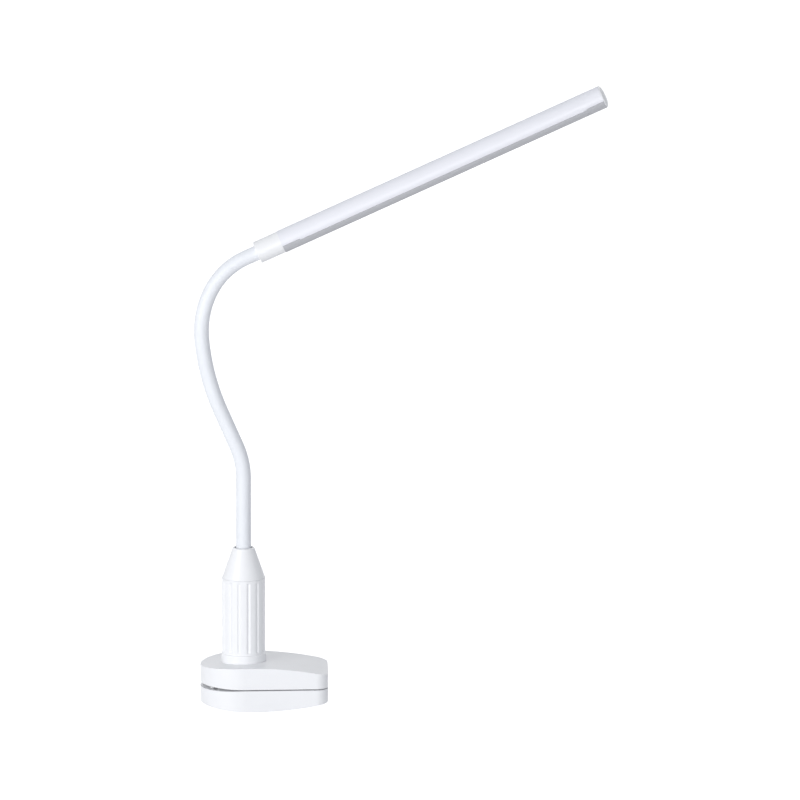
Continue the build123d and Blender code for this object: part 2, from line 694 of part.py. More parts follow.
# Neck: places along its course, counted from the top of the cone
def neck_stretches():
    """Runs and bends in order: length at the start and the end, start point, heading and radius."""
    stretches = []
    done, x, z, heading = 0.0, 0.0, CONE_TOP, 0.0
    for run, radius, turn in NECK_COURSE:
        if run:
            stretches.append((done, done + run, x, z, heading, 0.0))
            done, x, z = done + run, x + run * sin(heading), z + run * cos(heading)
        if turn:
            side = radius if turn > 0 else -radius
            stretches.append((done, done + abs(radians(turn)) * radius, x, z, heading, side))
            end = heading + radians(turn)
            x += side * (cos(heading) - cos(end))
            z += side * (sin(end) - sin(heading))
            done, heading = stretches[-1][1], end
    return stretches


STRETCHES = neck_stretches()
NECK_LENGTH = STRETCHES[-1][1]


def neck_at(length):
    """Point and heading of the neck's middle line, which goes straight on past both ends."""
    start, end, x, z, heading, radius = next((s for s in STRETCHES if length <= s[1]), STRETCHES[-1])
    beyond = length - start
    if not radius:
        return Vector(x + beyond * sin(heading), 0, z + beyond * cos(heading)), heading
    here = heading + beyond / radius
    across = radius * (cos(heading) - cos(here))
    up = radius * (sin(here) - sin(heading))
    return Vector(x + across, 0, z + up), here


def neck_plane(length):
    """Plane square to the neck: x to the inside of the bend towards +X, y to the back, z along the neck."""
    point, heading = neck_at(length)
    inward = (cos(heading), 0, -sin(heading))
    onward = (sin(heading), 0, cos(heading))
    return Plane(origin=point, x_dir=inward, z_dir=onward)


def neck_tube(start, end, outer, inner=0.0):
    """Tube or rod that follows the neck from one length to another."""
    breaks = [start] + [s[1] for s in STRETCHES[:-1] if start < s[1] < end] + [end]
    with BuildPart() as tube:
        with BuildLine() as course:
            for near, far in zip(breaks, breaks[1:]):
                first, heading = neck_at(near)
                last, end_heading = neck_at(far)
                if abs(heading - end_heading) < 1e-9:
                    Line(first, last)
                else:
                    ThreePointArc(first, neck_at((near + far) / 2)[0], last)
        with BuildSketch(neck_plane(start)):
            Circle(outer)
            if inner:
                Circle(inner, mode=Mode.SUBTRACT)
        sweep(path=course.line)
    return tube.part


joint_places = [NECK_LENGTH * (i + 0.5) / NECK_JOINTS for i in range(NECK_JOINTS)]
sleeve_ends = [NECK_LENGTH * i / NECK_JOINTS for i in range(NECK_JOINTS + 1)]
sleeve_ends[0] = FERRULE_TOP - CONE_TOP
sleeve_ends[-1] = NECK_LENGTH + COLLAR_SLEEVE_DEPTH
hose_foot = NUT_FOOT + HOSE_TAIL - CONE_TOP
hose_head = NECK_LENGTH + COLLAR_SLEEVE_DEPTH + BAR_FERRULE_LENGTH - HOSE_TAIL
link_ends = [hose_foot] + joint_places + [hose_head]

for number in range(NECK_JOINTS):
    sleeve_end_pair = sleeve_ends[number], sleeve_ends[number + 1]
    sleeve = neck_tube(*sleeve_end_pair, SLEEVE_D / 2, SLEEVE_D / 2 - SLEEVE_WALL)
    save(sleeve, f"neck_sleeve_{number + 1}")
    section = pi * SLEEVE_WALL * (SLEEVE_D - SLEEVE_WALL)
    share = sleeve.volume / (section * (sleeve_end_pair[1] - sleeve_end_pair[0]))
    print(f"neck_sleeve_{number + 1}: volume over section times length {share:.4f}")

for number in range(NECK_JOINTS + 1):
    foot = link_ends[number] + (HOSE_JOINT_GAP / 2 if number else 0)
    head = link_ends[number + 1] - (HOSE_JOINT_GAP / 2 if number < NECK_JOINTS else 0)
    save(neck_tube(foot, head, HOSE_D / 2, HOSE_D / 2 - HOSE_WALL), f"neck_hose_{number}")
    save(neck_tube(foot, head, CABLE_D / 2), f"neck_cable_{number}")

for number, place in enumerate(joint_places):
    point, heading = neck_at(place)
    along = f"{sin(heading):.5f} {cos(heading):.5f}"
    print(f"neck joint {number + 1}: x {point.X:.2f} z {point.Z:.2f} along {along}")

with BuildPart() as neck_ferrule_lower:
    with BuildSketch(Plane.XY.offset(NUT_FOOT)):
        Circle(CONE_BORE_D / 2 - FERRULE_FIT)
        Circle(HOSE_D / 2 + FERRULE_FIT, mode=Mode.SUBTRACT)
    extrude(amount=FERRULE_TOP - NUT_FOOT)
save(neck_ferrule_lower.part, "neck_ferrule_lower")

with BuildPart() as neck_nut:
    with BuildSketch(Plane.XY.offset(NUT_FOOT)):
        RegularPolygon(NUT_ACROSS_FLATS / 2, 6, major_radius=False)
        Circle(CONE_BORE_D / 2, mode=Mode.SUBTRACT)
    extrude(amount=NUT_HEIGHT)
save(neck_nut.part, "neck_nut")

# Light bar: planes along it carry on from the end of the neck, with x towards the diffuser
BAR_START = COLLAR_LENGTH
BAR_END = COLLAR_LENGTH + BAR_LENGTH
BAR_R = BAR_D / 2
BORE_R = BAR_R - BAR_WALL
WEB_FACE = WEB_DROP + WEB_THICKNESS
FERRULE_END = COLLAR_SLEEVE_DEPTH + BAR_FERRULE_LENGTH
CAP_DOME = CAP_LENGTH - CAP_RIM
CAP_DOME_R = (BAR_R**2 + CAP_DOME**2) / (2 * CAP_DOME)


def bar_plane(along):
    """Plane square to the light bar, a set distance from the start of the collar."""
    return neck_plane(NECK_LENGTH + along)


def sector(half_angle, radius):
    """Sector of the round section on the diffuser's side, out past the radius."""
    with BuildSketch() as face:
        with BuildLine():
            far = 2 * radius
            low = (far * cos(radians(half_angle)), -far * sin(radians(half_angle)))
            high = (low[0], -low[1])
            Line((0, 0), low)
            ThreePointArc(low, (far, 0), high)
            Line(high, (0, 0))
        make_face()
    return face.sketch


def half_plug(along, length):
    """D-shaped plug that fits in the bar above its web."""
    with BuildPart() as plug:
        with BuildSketch(bar_plane(along)):
            Circle(BORE_R - PLUG_FIT)
            with Locations((WEB_DROP - PLUG_FIT, 0)):
                Rectangle(BAR_D, BAR_D, align=(Align.MIN, Align.CENTER), mode=Mode.SUBTRACT)
        extrude(amount=length)
    return plug.part


with BuildPart() as head_collar:
    with BuildSketch(bar_plane(0)):
        Circle(COLLAR_D / 2)
    extrude(amount=COLLAR_LENGTH)
    fillet(head_collar.edges().filter_by(GeomType.CIRCLE).sort_by(Axis.X)[0], COLLAR_EDGE)
    add(half_plug(COLLAR_LENGTH, PLUG_LENGTH))
    with BuildSketch(bar_plane(0)):
        Circle(SLEEVE_D / 2 + COLLAR_FIT)
    extrude(amount=FERRULE_END, mode=Mode.SUBTRACT)
    with BuildSketch(bar_plane(0)):
        Circle(CABLE_D / 2 + COLLAR_FIT)
    extrude(amount=COLLAR_LENGTH + PLUG_LENGTH, mode=Mode.SUBTRACT)
save(head_collar.part, "head_collar")

with BuildPart() as neck_ferrule_upper:
    with BuildSketch(bar_plane(COLLAR_SLEEVE_DEPTH)):
        Circle(SLEEVE_D / 2 + COLLAR_FIT - FERRULE_FIT)
        Circle(HOSE_D / 2 + FERRULE_FIT, mode=Mode.SUBTRACT)
    extrude(amount=BAR_FERRULE_LENGTH)
save(neck_ferrule_upper.part, "neck_ferrule_upper")

block_starts = [BAR_START, BAR_END - END_BLOCK_LENGTH]
with BuildPart() as head_housing:
    with BuildSketch(bar_plane(BAR_START)):
        Circle(BAR_R)
        Circle(BORE_R, mode=Mode.SUBTRACT)
        add(sector(DIFFUSER_HALF_ANGLE, BAR_R), mode=Mode.SUBTRACT)
    extrude(amount=BAR_LENGTH)
    for start in block_starts:
        with BuildSketch(bar_plane(start)):
            add(sector(END_BLOCK_HALF_ANGLE, BAR_R))
        extrude(amount=END_BLOCK_LENGTH, mode=Mode.SUBTRACT)
    with BuildSketch(bar_plane(BAR_START)) as web:
        Circle(BORE_R + BAR_WALL / 2)
        with Locations((WEB_DROP, 0)):
            Rectangle(WEB_THICKNESS, BAR_D, align=(Align.MIN, Align.CENTER), mode=Mode.INTERSECT)
    extrude(amount=BAR_LENGTH)
save(head_housing.part, "head_housing")

edge_angle = DIFFUSER_FIT / BAR_R * 180 / pi
with BuildPart() as head_diffuser:
    with BuildSketch(bar_plane(BAR_START + END_BLOCK_LENGTH)):
        Circle(BAR_R)
        Circle(BAR_R - DIFFUSER_WALL, mode=Mode.SUBTRACT)
        add(sector(DIFFUSER_HALF_ANGLE - edge_angle, BAR_R), mode=Mode.INTERSECT)
    extrude(amount=BAR_LENGTH - 2 * END_BLOCK_LENGTH)
save(head_diffuser.part, "head_diffuser")

with BuildPart() as diffuser_end_blocks:
    for start in block_starts:
        with BuildSketch(bar_plane(start)):
            Circle(BAR_R)
            Circle(BAR_R - BAR_WALL, mode=Mode.SUBTRACT)
            add(sector(END_BLOCK_HALF_ANGLE - edge_angle, BAR_R), mode=Mode.INTERSECT)
        extrude(amount=END_BLOCK_LENGTH)
save(diffuser_end_blocks.part, "diffuser_end_blocks")

led_board_start = BAR_START + END_BLOCK_LENGTH / 2
led_board_length = BAR_LENGTH - END_BLOCK_LENGTH
with BuildPart() as led_board:
    with BuildSketch(bar_plane(led_board_start)):
        with Locations((WEB_FACE, 0)):
            Rectangle(LED_BOARD_THICKNESS, LED_BOARD_WIDTH, align=(Align.MIN, Align.CENTER))
    extrude(amount=led_board_length)
save(led_board.part, "led_board")

led_step = led_board_length / LED_COUNT
with BuildPart() as led_chips:
    for number in range(LED_COUNT):
        with BuildSketch(bar_plane(led_board_start + led_step * (number + 0.5) - LED_SIZE / 2)):
            with Locations((WEB_FACE + LED_BOARD_THICKNESS, 0)):
                Rectangle(LED_HEIGHT, LED_SIZE, align=(Align.MIN, Align.CENTER))
        extrude(amount=LED_SIZE)
save(led_chips.part, "led_chips")

with BuildPart() as end_cap:
    with BuildSketch(bar_plane(BAR_END)):
        Circle(BAR_R)
    extrude(amount=CAP_LENGTH)
    with Locations(bar_plane(BAR_END + CAP_LENGTH - CAP_DOME_R)):
        Sphere(CAP_DOME_R, mode=Mode.INTERSECT)
    fillet(end_cap.edges().filter_by(lambda edge: edge.is_closed).sort_by(Axis.X)[-1], CAP_EDGE)
    add(half_plug(BAR_END - PLUG_LENGTH, PLUG_LENGTH))
save(end_cap.part, "end_cap")
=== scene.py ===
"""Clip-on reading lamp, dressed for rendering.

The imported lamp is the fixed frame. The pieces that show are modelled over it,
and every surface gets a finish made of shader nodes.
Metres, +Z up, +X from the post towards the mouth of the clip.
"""
import json
from math import acos, asin, ceil, cos, hypot, pi, radians, sin, sqrt, tan

import bmesh
import bpy
from mathutils import Matrix, Vector


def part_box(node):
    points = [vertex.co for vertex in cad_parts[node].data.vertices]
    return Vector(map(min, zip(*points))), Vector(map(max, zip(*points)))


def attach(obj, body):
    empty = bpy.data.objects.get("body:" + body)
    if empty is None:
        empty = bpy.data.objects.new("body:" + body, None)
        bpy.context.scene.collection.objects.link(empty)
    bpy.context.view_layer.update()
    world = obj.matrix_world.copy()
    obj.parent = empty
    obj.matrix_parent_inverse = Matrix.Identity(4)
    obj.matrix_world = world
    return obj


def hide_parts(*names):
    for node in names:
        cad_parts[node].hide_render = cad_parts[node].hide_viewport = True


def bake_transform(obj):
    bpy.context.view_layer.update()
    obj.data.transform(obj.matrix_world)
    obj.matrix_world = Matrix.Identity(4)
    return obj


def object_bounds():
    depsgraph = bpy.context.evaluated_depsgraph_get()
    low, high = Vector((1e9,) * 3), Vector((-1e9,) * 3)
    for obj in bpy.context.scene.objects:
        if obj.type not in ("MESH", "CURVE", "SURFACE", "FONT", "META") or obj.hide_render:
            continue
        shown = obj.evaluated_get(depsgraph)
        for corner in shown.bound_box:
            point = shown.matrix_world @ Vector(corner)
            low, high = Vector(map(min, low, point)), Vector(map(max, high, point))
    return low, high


bl_info = {
    "name": "Clip-on reading lamp",
    "version": (1, 0, 0),
    "blender": (4, 5, 0),
    "location": "View3D > Sidebar > Lamp",
    "description": "Models and finishes the pieces of a clip-on reading lamp around its frame",
    "category": "Add Mesh",
}

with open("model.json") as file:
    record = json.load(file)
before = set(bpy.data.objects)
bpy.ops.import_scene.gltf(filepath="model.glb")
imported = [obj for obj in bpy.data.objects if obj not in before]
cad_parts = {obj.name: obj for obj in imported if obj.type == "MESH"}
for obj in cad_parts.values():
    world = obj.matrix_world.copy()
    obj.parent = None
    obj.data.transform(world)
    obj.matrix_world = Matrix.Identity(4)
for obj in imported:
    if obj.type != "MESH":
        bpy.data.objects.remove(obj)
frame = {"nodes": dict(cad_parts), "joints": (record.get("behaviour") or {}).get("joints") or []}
CAD_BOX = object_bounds()

# Places that the frame gives
JAW_LOW, JAW_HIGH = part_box("lower_jaw_shell")
PAD_LOW, PAD_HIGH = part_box("upper_grip_pad")
PIN_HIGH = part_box("hinge_pin")[1]
SPRING_LOW, SPRING_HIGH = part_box("clip_spring")
RING_LOW, RING_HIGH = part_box("post_ring")
SLEEVE_LOW, SLEEVE_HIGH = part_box("post_sleeve")
CONE_LOW, CONE_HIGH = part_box("post_cone")
SOCKET_LOW, SOCKET_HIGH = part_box("charging_socket")
BUTTON_LOW, BUTTON_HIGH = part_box("power_button")
JOINTS = {joint["name"]: joint for joint in frame["joints"]}
NECK_BENDS = [joint for name, joint in JOINTS.items() if name.startswith("neck_bend")]
HINGE = Vector(JOINTS["clip_open"]["pos_m"])

# How close two places count as one, and which corners count as sharp, straight or facing down
MM = 0.001
WELD = 0.001 * MM
NEAR = 0.01 * MM
CREASE = radians(30)
STRAIGHT = radians(179.9)
DOWNWARDS = -0.99

# How fine the round shapes are
ROUND_STEPS = 96
TAIL_STEPS, CORNER_STEPS, MOUTH_STEPS, JAW_STRIPS = 72, 16, 24, 30
SLOT_STEPS, HOLE_STEPS, BUTTON_STEPS = 16, 40, 48
PIN_STEPS, COIL_STEPS, LEG_STEPS, WIRE_SIDES = 48, 48, 6, 16
FLUTE_STEPS, FADE_STEPS = 8, 6
DOME_STEPS, SCREW_STEPS = 16, 32

# Bodies that the two jaws belong to
JAWS = {"upper": "clip_and_post", "lower": "lower_jaw"}


# Properties that a user would change
def length(label, words, metres):
    """A size in metres."""
    return bpy.props.FloatProperty(
        name=label, description=words, default=metres, precision=5, subtype="DISTANCE", unit="LENGTH"
    )


def angle(label, words, degrees):
    """An angle, given in degrees."""
    return bpy.props.FloatProperty(
        name=label, description=words, default=radians(degrees), subtype="ANGLE", unit="ROTATION"
    )


def amount(label, words, value):
    """A plain number, such as a strength."""
    return bpy.props.FloatProperty(name=label, description=words, default=value, min=0.0)


def count(label, words, number):
    """A number of like things."""
    return bpy.props.IntProperty(name=label, description=words, default=number, min=1)


def colour(label, words, rgb):
    """A colour in linear light."""
    return bpy.props.FloatVectorProperty(
        name=label, description=words, default=rgb, size=3, min=0.0, max=1.0, subtype="COLOR"
    )


class ClipSizes(bpy.types.PropertyGroup):
    """Sizes of the clip: jaws, grip pads, hinge pin, spring and screws."""

    tail_radius: length("Tail radius", "Radius of the round tail about the post axis", -JAW_LOW.x)
    mouth_reach: length("Mouth reach", "Distance from the post axis to the mouth", JAW_HIGH.x)
    side_taper: angle("Side taper", "Turn of each side wall towards the middle", 2.4)
    mouth_bow: length("Mouth bow", "Bulge of the mouth between its corners", 0.4 * MM)
    mouth_corner: length("Mouth corner", "Radius of the corners at the mouth", 8.5 * MM)
    crown_height: length("Crown height", "Height of the crown above the grip plane", -JAW_LOW.z)
    crown_radius: length("Crown radius", "Radius of the crowned outer face", 250.0 * MM)
    crown_centre: length("Crown centre", "Distance of the highest line from the post axis", 5.5 * MM)
    crown_edge: length("Crown edge", "Rounding between the crown and the side walls", 1.2 * MM)
    jaw_face: length("Jaw face", "Height of the rim above the grip plane", -JAW_HIGH.z)
    wall: length("Wall", "Thickness of the side walls", 2.2 * MM)
    roof: length("Roof", "Thickness under the crown", 2.4 * MM)
    rim_edge: length("Rim edge", "Rounding of the rim's edges", 0.35 * MM)
    upper_wedge_start: length("Upper wedge start", "Where the upper rim starts to rise", -8.0 * MM)
    upper_tail_rise: length("Upper tail rise", "Rise of the upper rim at the tail", 0.6 * MM)
    lower_wedge_start: length("Lower wedge start", "Where the lower rim starts to drop", 0.0)
    lower_tail_drop: length("Lower tail drop", "Drop of the lower rim at the tail", 1.65 * MM)
    seat_fit: length("Seat fit", "Gap round the post ring in its seat", 0.1 * MM)
    slot_fit: length("Slot fit", "Gap round the charging socket and the button", 0.3 * MM)
    pad_grooves: count("Pad grooves", "Grooves across each grip pad", 6)
    pad_groove_width: length("Pad groove width", "Width of a groove", 1.2 * MM)
    pad_groove_depth: length("Pad groove depth", "Depth of a groove", 0.6 * MM)
    pad_edge: length("Pad edge", "Rounding of the pad's edges", 0.25 * MM)
    spring_wire: length("Spring wire", "Thickness of the spring's wire", 1.8 * MM)
    spring_turns: amount("Spring turns", "Turns of wire round the pin", 4.5)
    pin_edge: length("Pin edge", "Rounding of the pin's ends", 0.5 * MM)
    screw_radius: length("Screw radius", "Radius of a jaw screw's shank", 1.5 * MM)
    screw_head_radius: length("Screw head radius", "Radius of a jaw screw's head", 2.8 * MM)
    screw_length: length("Screw length", "Length of a jaw screw", 6.0 * MM)
    screw_recess: length("Screw recess", "Depth of the screw heads under the rim", 0.05 * MM)
    screw_rear: length("Rear screws", "Distance of the rear screws from the post axis", 6.0 * MM)
    screw_from_mouth: length("Front screws", "Distance of the front screws from the mouth", 8.3 * MM)
    screw_from_side: length("Screws from side", "Distance of the screws from the side walls", 8.3 * MM)
    drive_length: length("Drive length", "Length of the cross recess in a screw's head", 3.2 * MM)
    drive_width: length("Drive width", "Width of that recess", 0.7 * MM)
    drive_depth: length("Drive depth", "Depth of that recess", 0.9 * MM)


class ControlSizes(bpy.types.PropertyGroup):
    """Sizes of the button and the charging socket."""

    button_radius: length("Button radius", "Radius of the button's stem", 2.3 * MM)
    button_flange: length("Button flange", "Thickness of the flange behind the wall", 1.0 * MM)
    button_edge: length("Button edge", "Rounding of the button's face", 0.4 * MM)
    button_dish: length("Button dish", "Depth of the dish in the button's face", 0.2 * MM)
    socket_skin: length("Socket skin", "Thickness of the socket's metal shell", 0.35 * MM)
    socket_depth: length("Socket depth", "Depth of the opening for a plug", 7.2 * MM)
    tongue_width: length("Tongue width", "Width of the tongue in the socket", 5.8 * MM)
    tongue_thickness: length("Tongue thickness", "Thickness of the tongue", 0.7 * MM)
    tongue_set_back: length("Tongue set-back", "Distance of the tongue behind the opening", 0.9 * MM)
    tongue_edge: length("Tongue edge", "Rounding of the tongue's edges", 0.12 * MM)


class PostSizes(bpy.types.PropertyGroup):
    """Sizes of the post: ring, fluted sleeve and cone."""

    ring_edge: length("Ring edge", "Rounding of the ring's upper edge", 0.6 * MM)
    ring_floor: length("Ring floor", "Thickness of the floor under the cell", 2.4 * MM)
    wire_hole: length("Wire hole", "Radius of the hole for the leads", 3.0 * MM)
    pocket_radius: length("Pocket radius", "Radius of the pocket round the cell", 9.6 * MM)
    spigot_radius: length("Spigot radius", "Radius of the spigots inside the sleeve", 12.7 * MM)
    bore_radius: length("Sleeve bore", "Radius inside the sleeve", 12.8 * MM)
    flutes: count("Flutes", "Grooves round the sleeve", 14)
    flute_width: length("Flute width", "Width of a groove", 2.4 * MM)
    flute_depth: length("Flute depth", "Depth of a groove", 0.7 * MM)
    flute_edge: length("Flute edge", "Rounding where a panel meets a groove", 0.3 * MM)
    flute_foot: length("Flute foot", "Plain band under the grooves", 1.0 * MM)
    flute_runout: length("Flute runout", "Length in which a groove fades out at its ends", 1.6 * MM)
    cone_top: length("Cone top", "Radius of the cone's upper end", 7.5 * MM)
    cone_bore: length("Cone bore", "Radius of the bore that the neck enters", 6.25 * MM)
    bore_depth: length("Bore depth", "Depth of that bore", 7.1 * MM)
    cone_rim: length("Cone rim", "Rounding of the cone's upper edge", 0.8 * MM)
    shoulder_edge: length("Shoulder edge", "Rounding where the cone meets the sleeve", 0.5 * MM)


class NeckSizes(bpy.types.PropertyGroup):
    """Course and sizes of the flexible neck."""

    foot_run: length("Foot run", "Straight run up from the cone", 48.6 * MM)
    lean_radius: length("Lean radius", "Radius of the bend back over the tail", 56.6 * MM)
    lean_angle: angle("Lean angle", "Turn of that bend", 23.7)
    lean_run: length("Lean run", "Straight run that leans back", 27.0 * MM)
    return_radius: length("Return radius", "Radius of the slow bend forward", 161.0 * MM)
    return_angle: angle("Return angle", "Turn of that bend", 18.9)
    arch_radius: length("Arch radius", "Radius of the arch", 63.0 * MM)
    arch_angle: angle("Arch angle", "Turn of the arch", 31.5)
    crook_radius: length("Crook radius", "Radius of the last bend", 50.0 * MM)
    crook_angle: angle("Crook angle", "Turn of the last bend", 38.7)
    head_run: length("Head run", "Straight run into the collar", 8.8 * MM)
    sleeve_radius: length("Sleeve radius", "Outer radius of the white sleeve", 5.2 * MM)
    sleeve_wall: length("Sleeve wall", "Thickness of the white sleeve", 1.25 * MM)
    hose_radius: length("Hose radius", "Outer radius of the steel hose", 3.8 * MM)
    hose_wall: length("Hose wall", "Thickness of the steel hose", 1.5 * MM)
    cable_radius: length("Cable radius", "Radius of the leads", 1.4 * MM)
    sleeve_foot: length("Sleeve foot", "Length of sleeve inside the cone", 3.0 * MM)
    sleeve_head: length("Sleeve head", "Length of sleeve inside the collar", 6.0 * MM)
    hose_foot: length("Hose foot", "Length of hose inside the cone", 9.5 * MM)
    hose_head: length("Hose head", "Length of hose inside the collar", 13.0 * MM)


class BarSizes(bpy.types.PropertyGroup):
    """Sizes of the light bar, measured along it from the end of the neck."""

    collar_radius: length("Collar radius", "Outer radius of the collar", 7.85 * MM)
    collar_length: length("Collar length", "Length of the collar", 18.3 * MM)
    collar_edge: length("Collar edge", "Rounding of the collar at the neck", 0.6 * MM)
    collar_bore: length("Collar bore", "Radius of the bore for the neck", 5.35 * MM)
    collar_bore_depth: length("Collar bore depth", "Depth of that bore", 14.0 * MM)
    lead_bore: length("Lead bore", "Radius of the hole for the leads", 1.55 * MM)
    bar_radius: length("Bar radius", "Outer radius of the bar", 8.1 * MM)
    bar_wall: length("Bar wall", "Thickness of the housing", 1.4 * MM)
    bar_length: length("Bar length", "Length of the housing", 243.0 * MM)
    bar_edge: length("Bar edge", "Rounding of the housing's edges", 0.15 * MM)
    web_near: length("Web near", "Near face of the web that carries the light strip", 0.2 * MM)
    web_far: length("Web far", "Far face of the web", 1.4 * MM)
    diffuser_angle: angle("Diffuser angle", "Half of the opening that the diffuser fills", 70.6)
    diffuser_wall: length("Diffuser wall", "Thickness of the diffuser", 1.2 * MM)
    diffuser_fit: length("Diffuser fit", "Gap along the diffuser's edges", 0.1 * MM)
    block_angle: angle("Block angle", "Half of the opening that an end block fills", 77.0)
    block_length: length("Block length", "Length of an end block", 13.0 * MM)
    cap_length: length("Cap length", "Length of the end cap", 2.4 * MM)
    cap_fullness: amount("Cap fullness", "Fullness of the end cap's shoulder, where 2 is an ellipse", 2.2)
    cap_groove: length("Cap groove", "Width of the fine groove behind the end cap", 0.25 * MM)


class Finishes(bpy.types.PropertyGroup):
    """Colours of the finishes."""

    moulding: colour("Moulding", "White moulding of the jaws and the post", (0.875, 0.88, 0.9))
    plate: colour("Plate", "White moulding inside the jaws", (0.80, 0.805, 0.82))
    neck: colour("Neck", "Soft white sleeve of the neck", (0.815, 0.835, 0.875))
    bar: colour("Bar", "Satin white of the light bar", (0.81, 0.815, 0.865))
    collar: colour("Collar", "White moulding of the collar and the end cap", (0.865, 0.87, 0.885))
    # The diffuser's colour is its own pale grey made darker still by painted shade, for the shaded underside
    # of the bar
    frost: colour("Frost", "Frosted diffuser", (0.5, 0.505, 0.53))
    rubber: colour("Rubber", "Grip pads", (0.16, 0.165, 0.17))
    steel: colour("Steel", "Spring, pin, screws and hose", (0.60, 0.61, 0.63))
    brass: colour("Brass", "Ferrules and nut", (0.72, 0.55, 0.28))
    board: colour("Board", "Control board", (0.02, 0.16, 0.07))
    wrap: colour("Wrap", "Sleeve of the cell", (0.03, 0.18, 0.36))
    black: colour("Black", "Switch and the tongue of the socket", (0.015, 0.015, 0.016))
    lead: colour("Lead", "Sheath of the leads", (0.32, 0.325, 0.33))
    light_strip: colour("Light strip", "Core of the light strip", (0.80, 0.80, 0.79))
    phosphor: colour("Phosphor", "Light chips", (0.85, 0.68, 0.20))


class StageSettings(bpy.types.PropertyGroup):
    """Floor, light and camera."""

    elevation: angle("Elevation", "Height of the camera above the horizon", 12.0)
    azimuth: angle("Azimuth", "Turn of the camera to the left of the lamp's side", 0.8)
    lens: amount("Lens", "Focal length of the camera in millimetres", 1200.0)
    frame_width: length("Frame width", "Width of the picture at the lamp", 551.7 * MM)
    aim_x: length("Aim across", "Middle of the picture, across", 108.0 * MM)
    aim_z: length("Aim up", "Middle of the picture, up", 198.5 * MM)
    ambient: colour("Ambient", "Colour of the light from all round", (0.92, 0.95, 1.0))
    ambient_level: amount("Ambient level", "Strength of the light from all round", 0.49)
    lamp_distance: length("Lamp distance", "Distance of the lamps", 3.0)
    key_power: amount("Key power", "Power of the large soft lamp at the left in watts", 42.0)
    key_azimuth: angle("Key azimuth", "Turn of that lamp to the left", 42.0)
    key_elevation: angle("Key elevation", "Height of that lamp above the horizon", 11.0)
    key_size: length("Key size", "Side of that lamp", 1.6)
    front_power: amount("Front power", "Power of the smaller lamp in front in watts", 18.0)
    front_azimuth: angle("Front azimuth", "Turn of that lamp to the left", 3.0)
    front_elevation: angle("Front elevation", "Height of that lamp above the horizon", 5.0)
    front_size: length("Front size", "Side of that lamp", 0.8)
    back_power: amount("Back power", "Power of the weak lamp behind in watts", 12.0)
    back_azimuth: angle("Back azimuth", "Turn of that lamp to the left", 200.0)
    back_elevation: angle("Back elevation", "Height of that lamp above the horizon", 40.0)
    back_size: length("Back size", "Side of that lamp", 1.6)
    floor_size: length("Floor size", "Side of the floor", 16.0)
    floor_drop: length("Floor drop", "Distance of the floor under the lamp, room for the open jaw", 23.0 * MM)
    floor_colour: colour("Floor", "Pale floor", (0.78, 0.78, 0.785))
    floor_glow: amount("Floor glow", "Light added to the floor where the camera sees it", 0.8)


# Small modelling steps that several pieces share
def move(bm, matrix):
    """Turn and place a whole shape."""
    bmesh.ops.transform(bm, matrix=matrix, verts=bm.verts)


def spin(bm, geom, turn, steps, centre=(0, 0, 0), **options):
    """Carry points and edges round an upright axis and give what stands at the end."""
    swept = bmesh.ops.spin(bm, geom=geom, cent=centre, axis=(0, 0, 1), angle=turn, steps=steps, **options)
    return swept["geom_last"]


def turn_over(bm):
    """Mirror a shape in the grip plane."""
    bmesh.ops.scale(bm, vec=(1, 1, -1), verts=bm.verts)
    bmesh.ops.recalc_face_normals(bm, faces=bm.faces)


def soften(bm, edges, width, segments=3):
    """Round a set of edges."""
    bmesh.ops.bevel(
        bm, geom=edges, offset=width, offset_type="OFFSET", affect="EDGES", segments=segments,
        profile=0.5, material=-1, clamp_overlap=True,
    )


def creases(bm, test):
    """Edges that turn sharply and whose ends both pass a test."""
    return [e for e in bm.edges if e.calc_face_angle(0.0) > CREASE and all(test(v.co) for v in e.verts)]


def close_up(bm):
    """Merge doubled points and turn the faces outwards."""
    bmesh.ops.remove_doubles(bm, verts=bm.verts, dist=WELD)
    bmesh.ops.recalc_face_normals(bm, faces=bm.faces)


def from_axis(point):
    """Distance of a point from the Z axis."""
    return hypot(point.x, point.y)


def set_radius(vertex, radius):
    """Move a vertex straight out from the Z axis, or in, to a radius."""
    share = radius / from_axis(vertex.co)
    vertex.co.x *= share
    vertex.co.y *= share


def kinds(geometry, kind):
    """Only the vertices, edges or faces of what an operator gives back."""
    return [part for part in geometry if isinstance(part, kind)]


def turned(profile, rounds=(), steps=ROUND_STEPS):
    """Shape turned about Z from a line of (radius, height), with (point, width) edges rounded.

    A line that starts on the axis also ends there and gives a solid. Any other is closed and gives a ring.
    """
    bm = bmesh.new()
    line = [bm.verts.new((radius, 0, height)) for radius, height in profile]
    following = line[1:] if profile[0][0] == 0 else line[1:] + line[:1]
    edges = [bm.edges.new(pair) for pair in zip(line, following)]
    spin(bm, line + edges, 2 * pi, steps, use_merge=True)
    close_up(bm)
    for (radius, height), width in rounds:
        circle = [
            e for e in bm.edges
            if all(abs(from_axis(v.co) - radius) < NEAR and abs(v.co.z - height) < NEAR for v in e.verts)
        ]
        soften(bm, circle, width, 4)
    return bm


def rod(radius, low, high, steps=ROUND_STEPS, edge=0.0):
    """Round rod along Z, with rounded ends where an edge is given."""
    line = [(0, low), (radius, low), (radius, high), (0, high)]
    return turned(line, [(corner, edge) for corner in line[1:3] if edge], steps)


def arc(bm, start, centre, turn, steps):
    """Point swept about a centre in plan. Gives the first and the last point."""
    first = bm.verts.new(start)
    return first, kinds(spin(bm, [first], turn, steps, centre), bmesh.types.BMVert)[0]


def link(bm, arcs):
    """Join arcs, the end of each to the start of the next, into a closed outline."""
    for near, far in zip(arcs, arcs[1:] + arcs[:1]):
        bm.edges.new((near[1], far[0]))


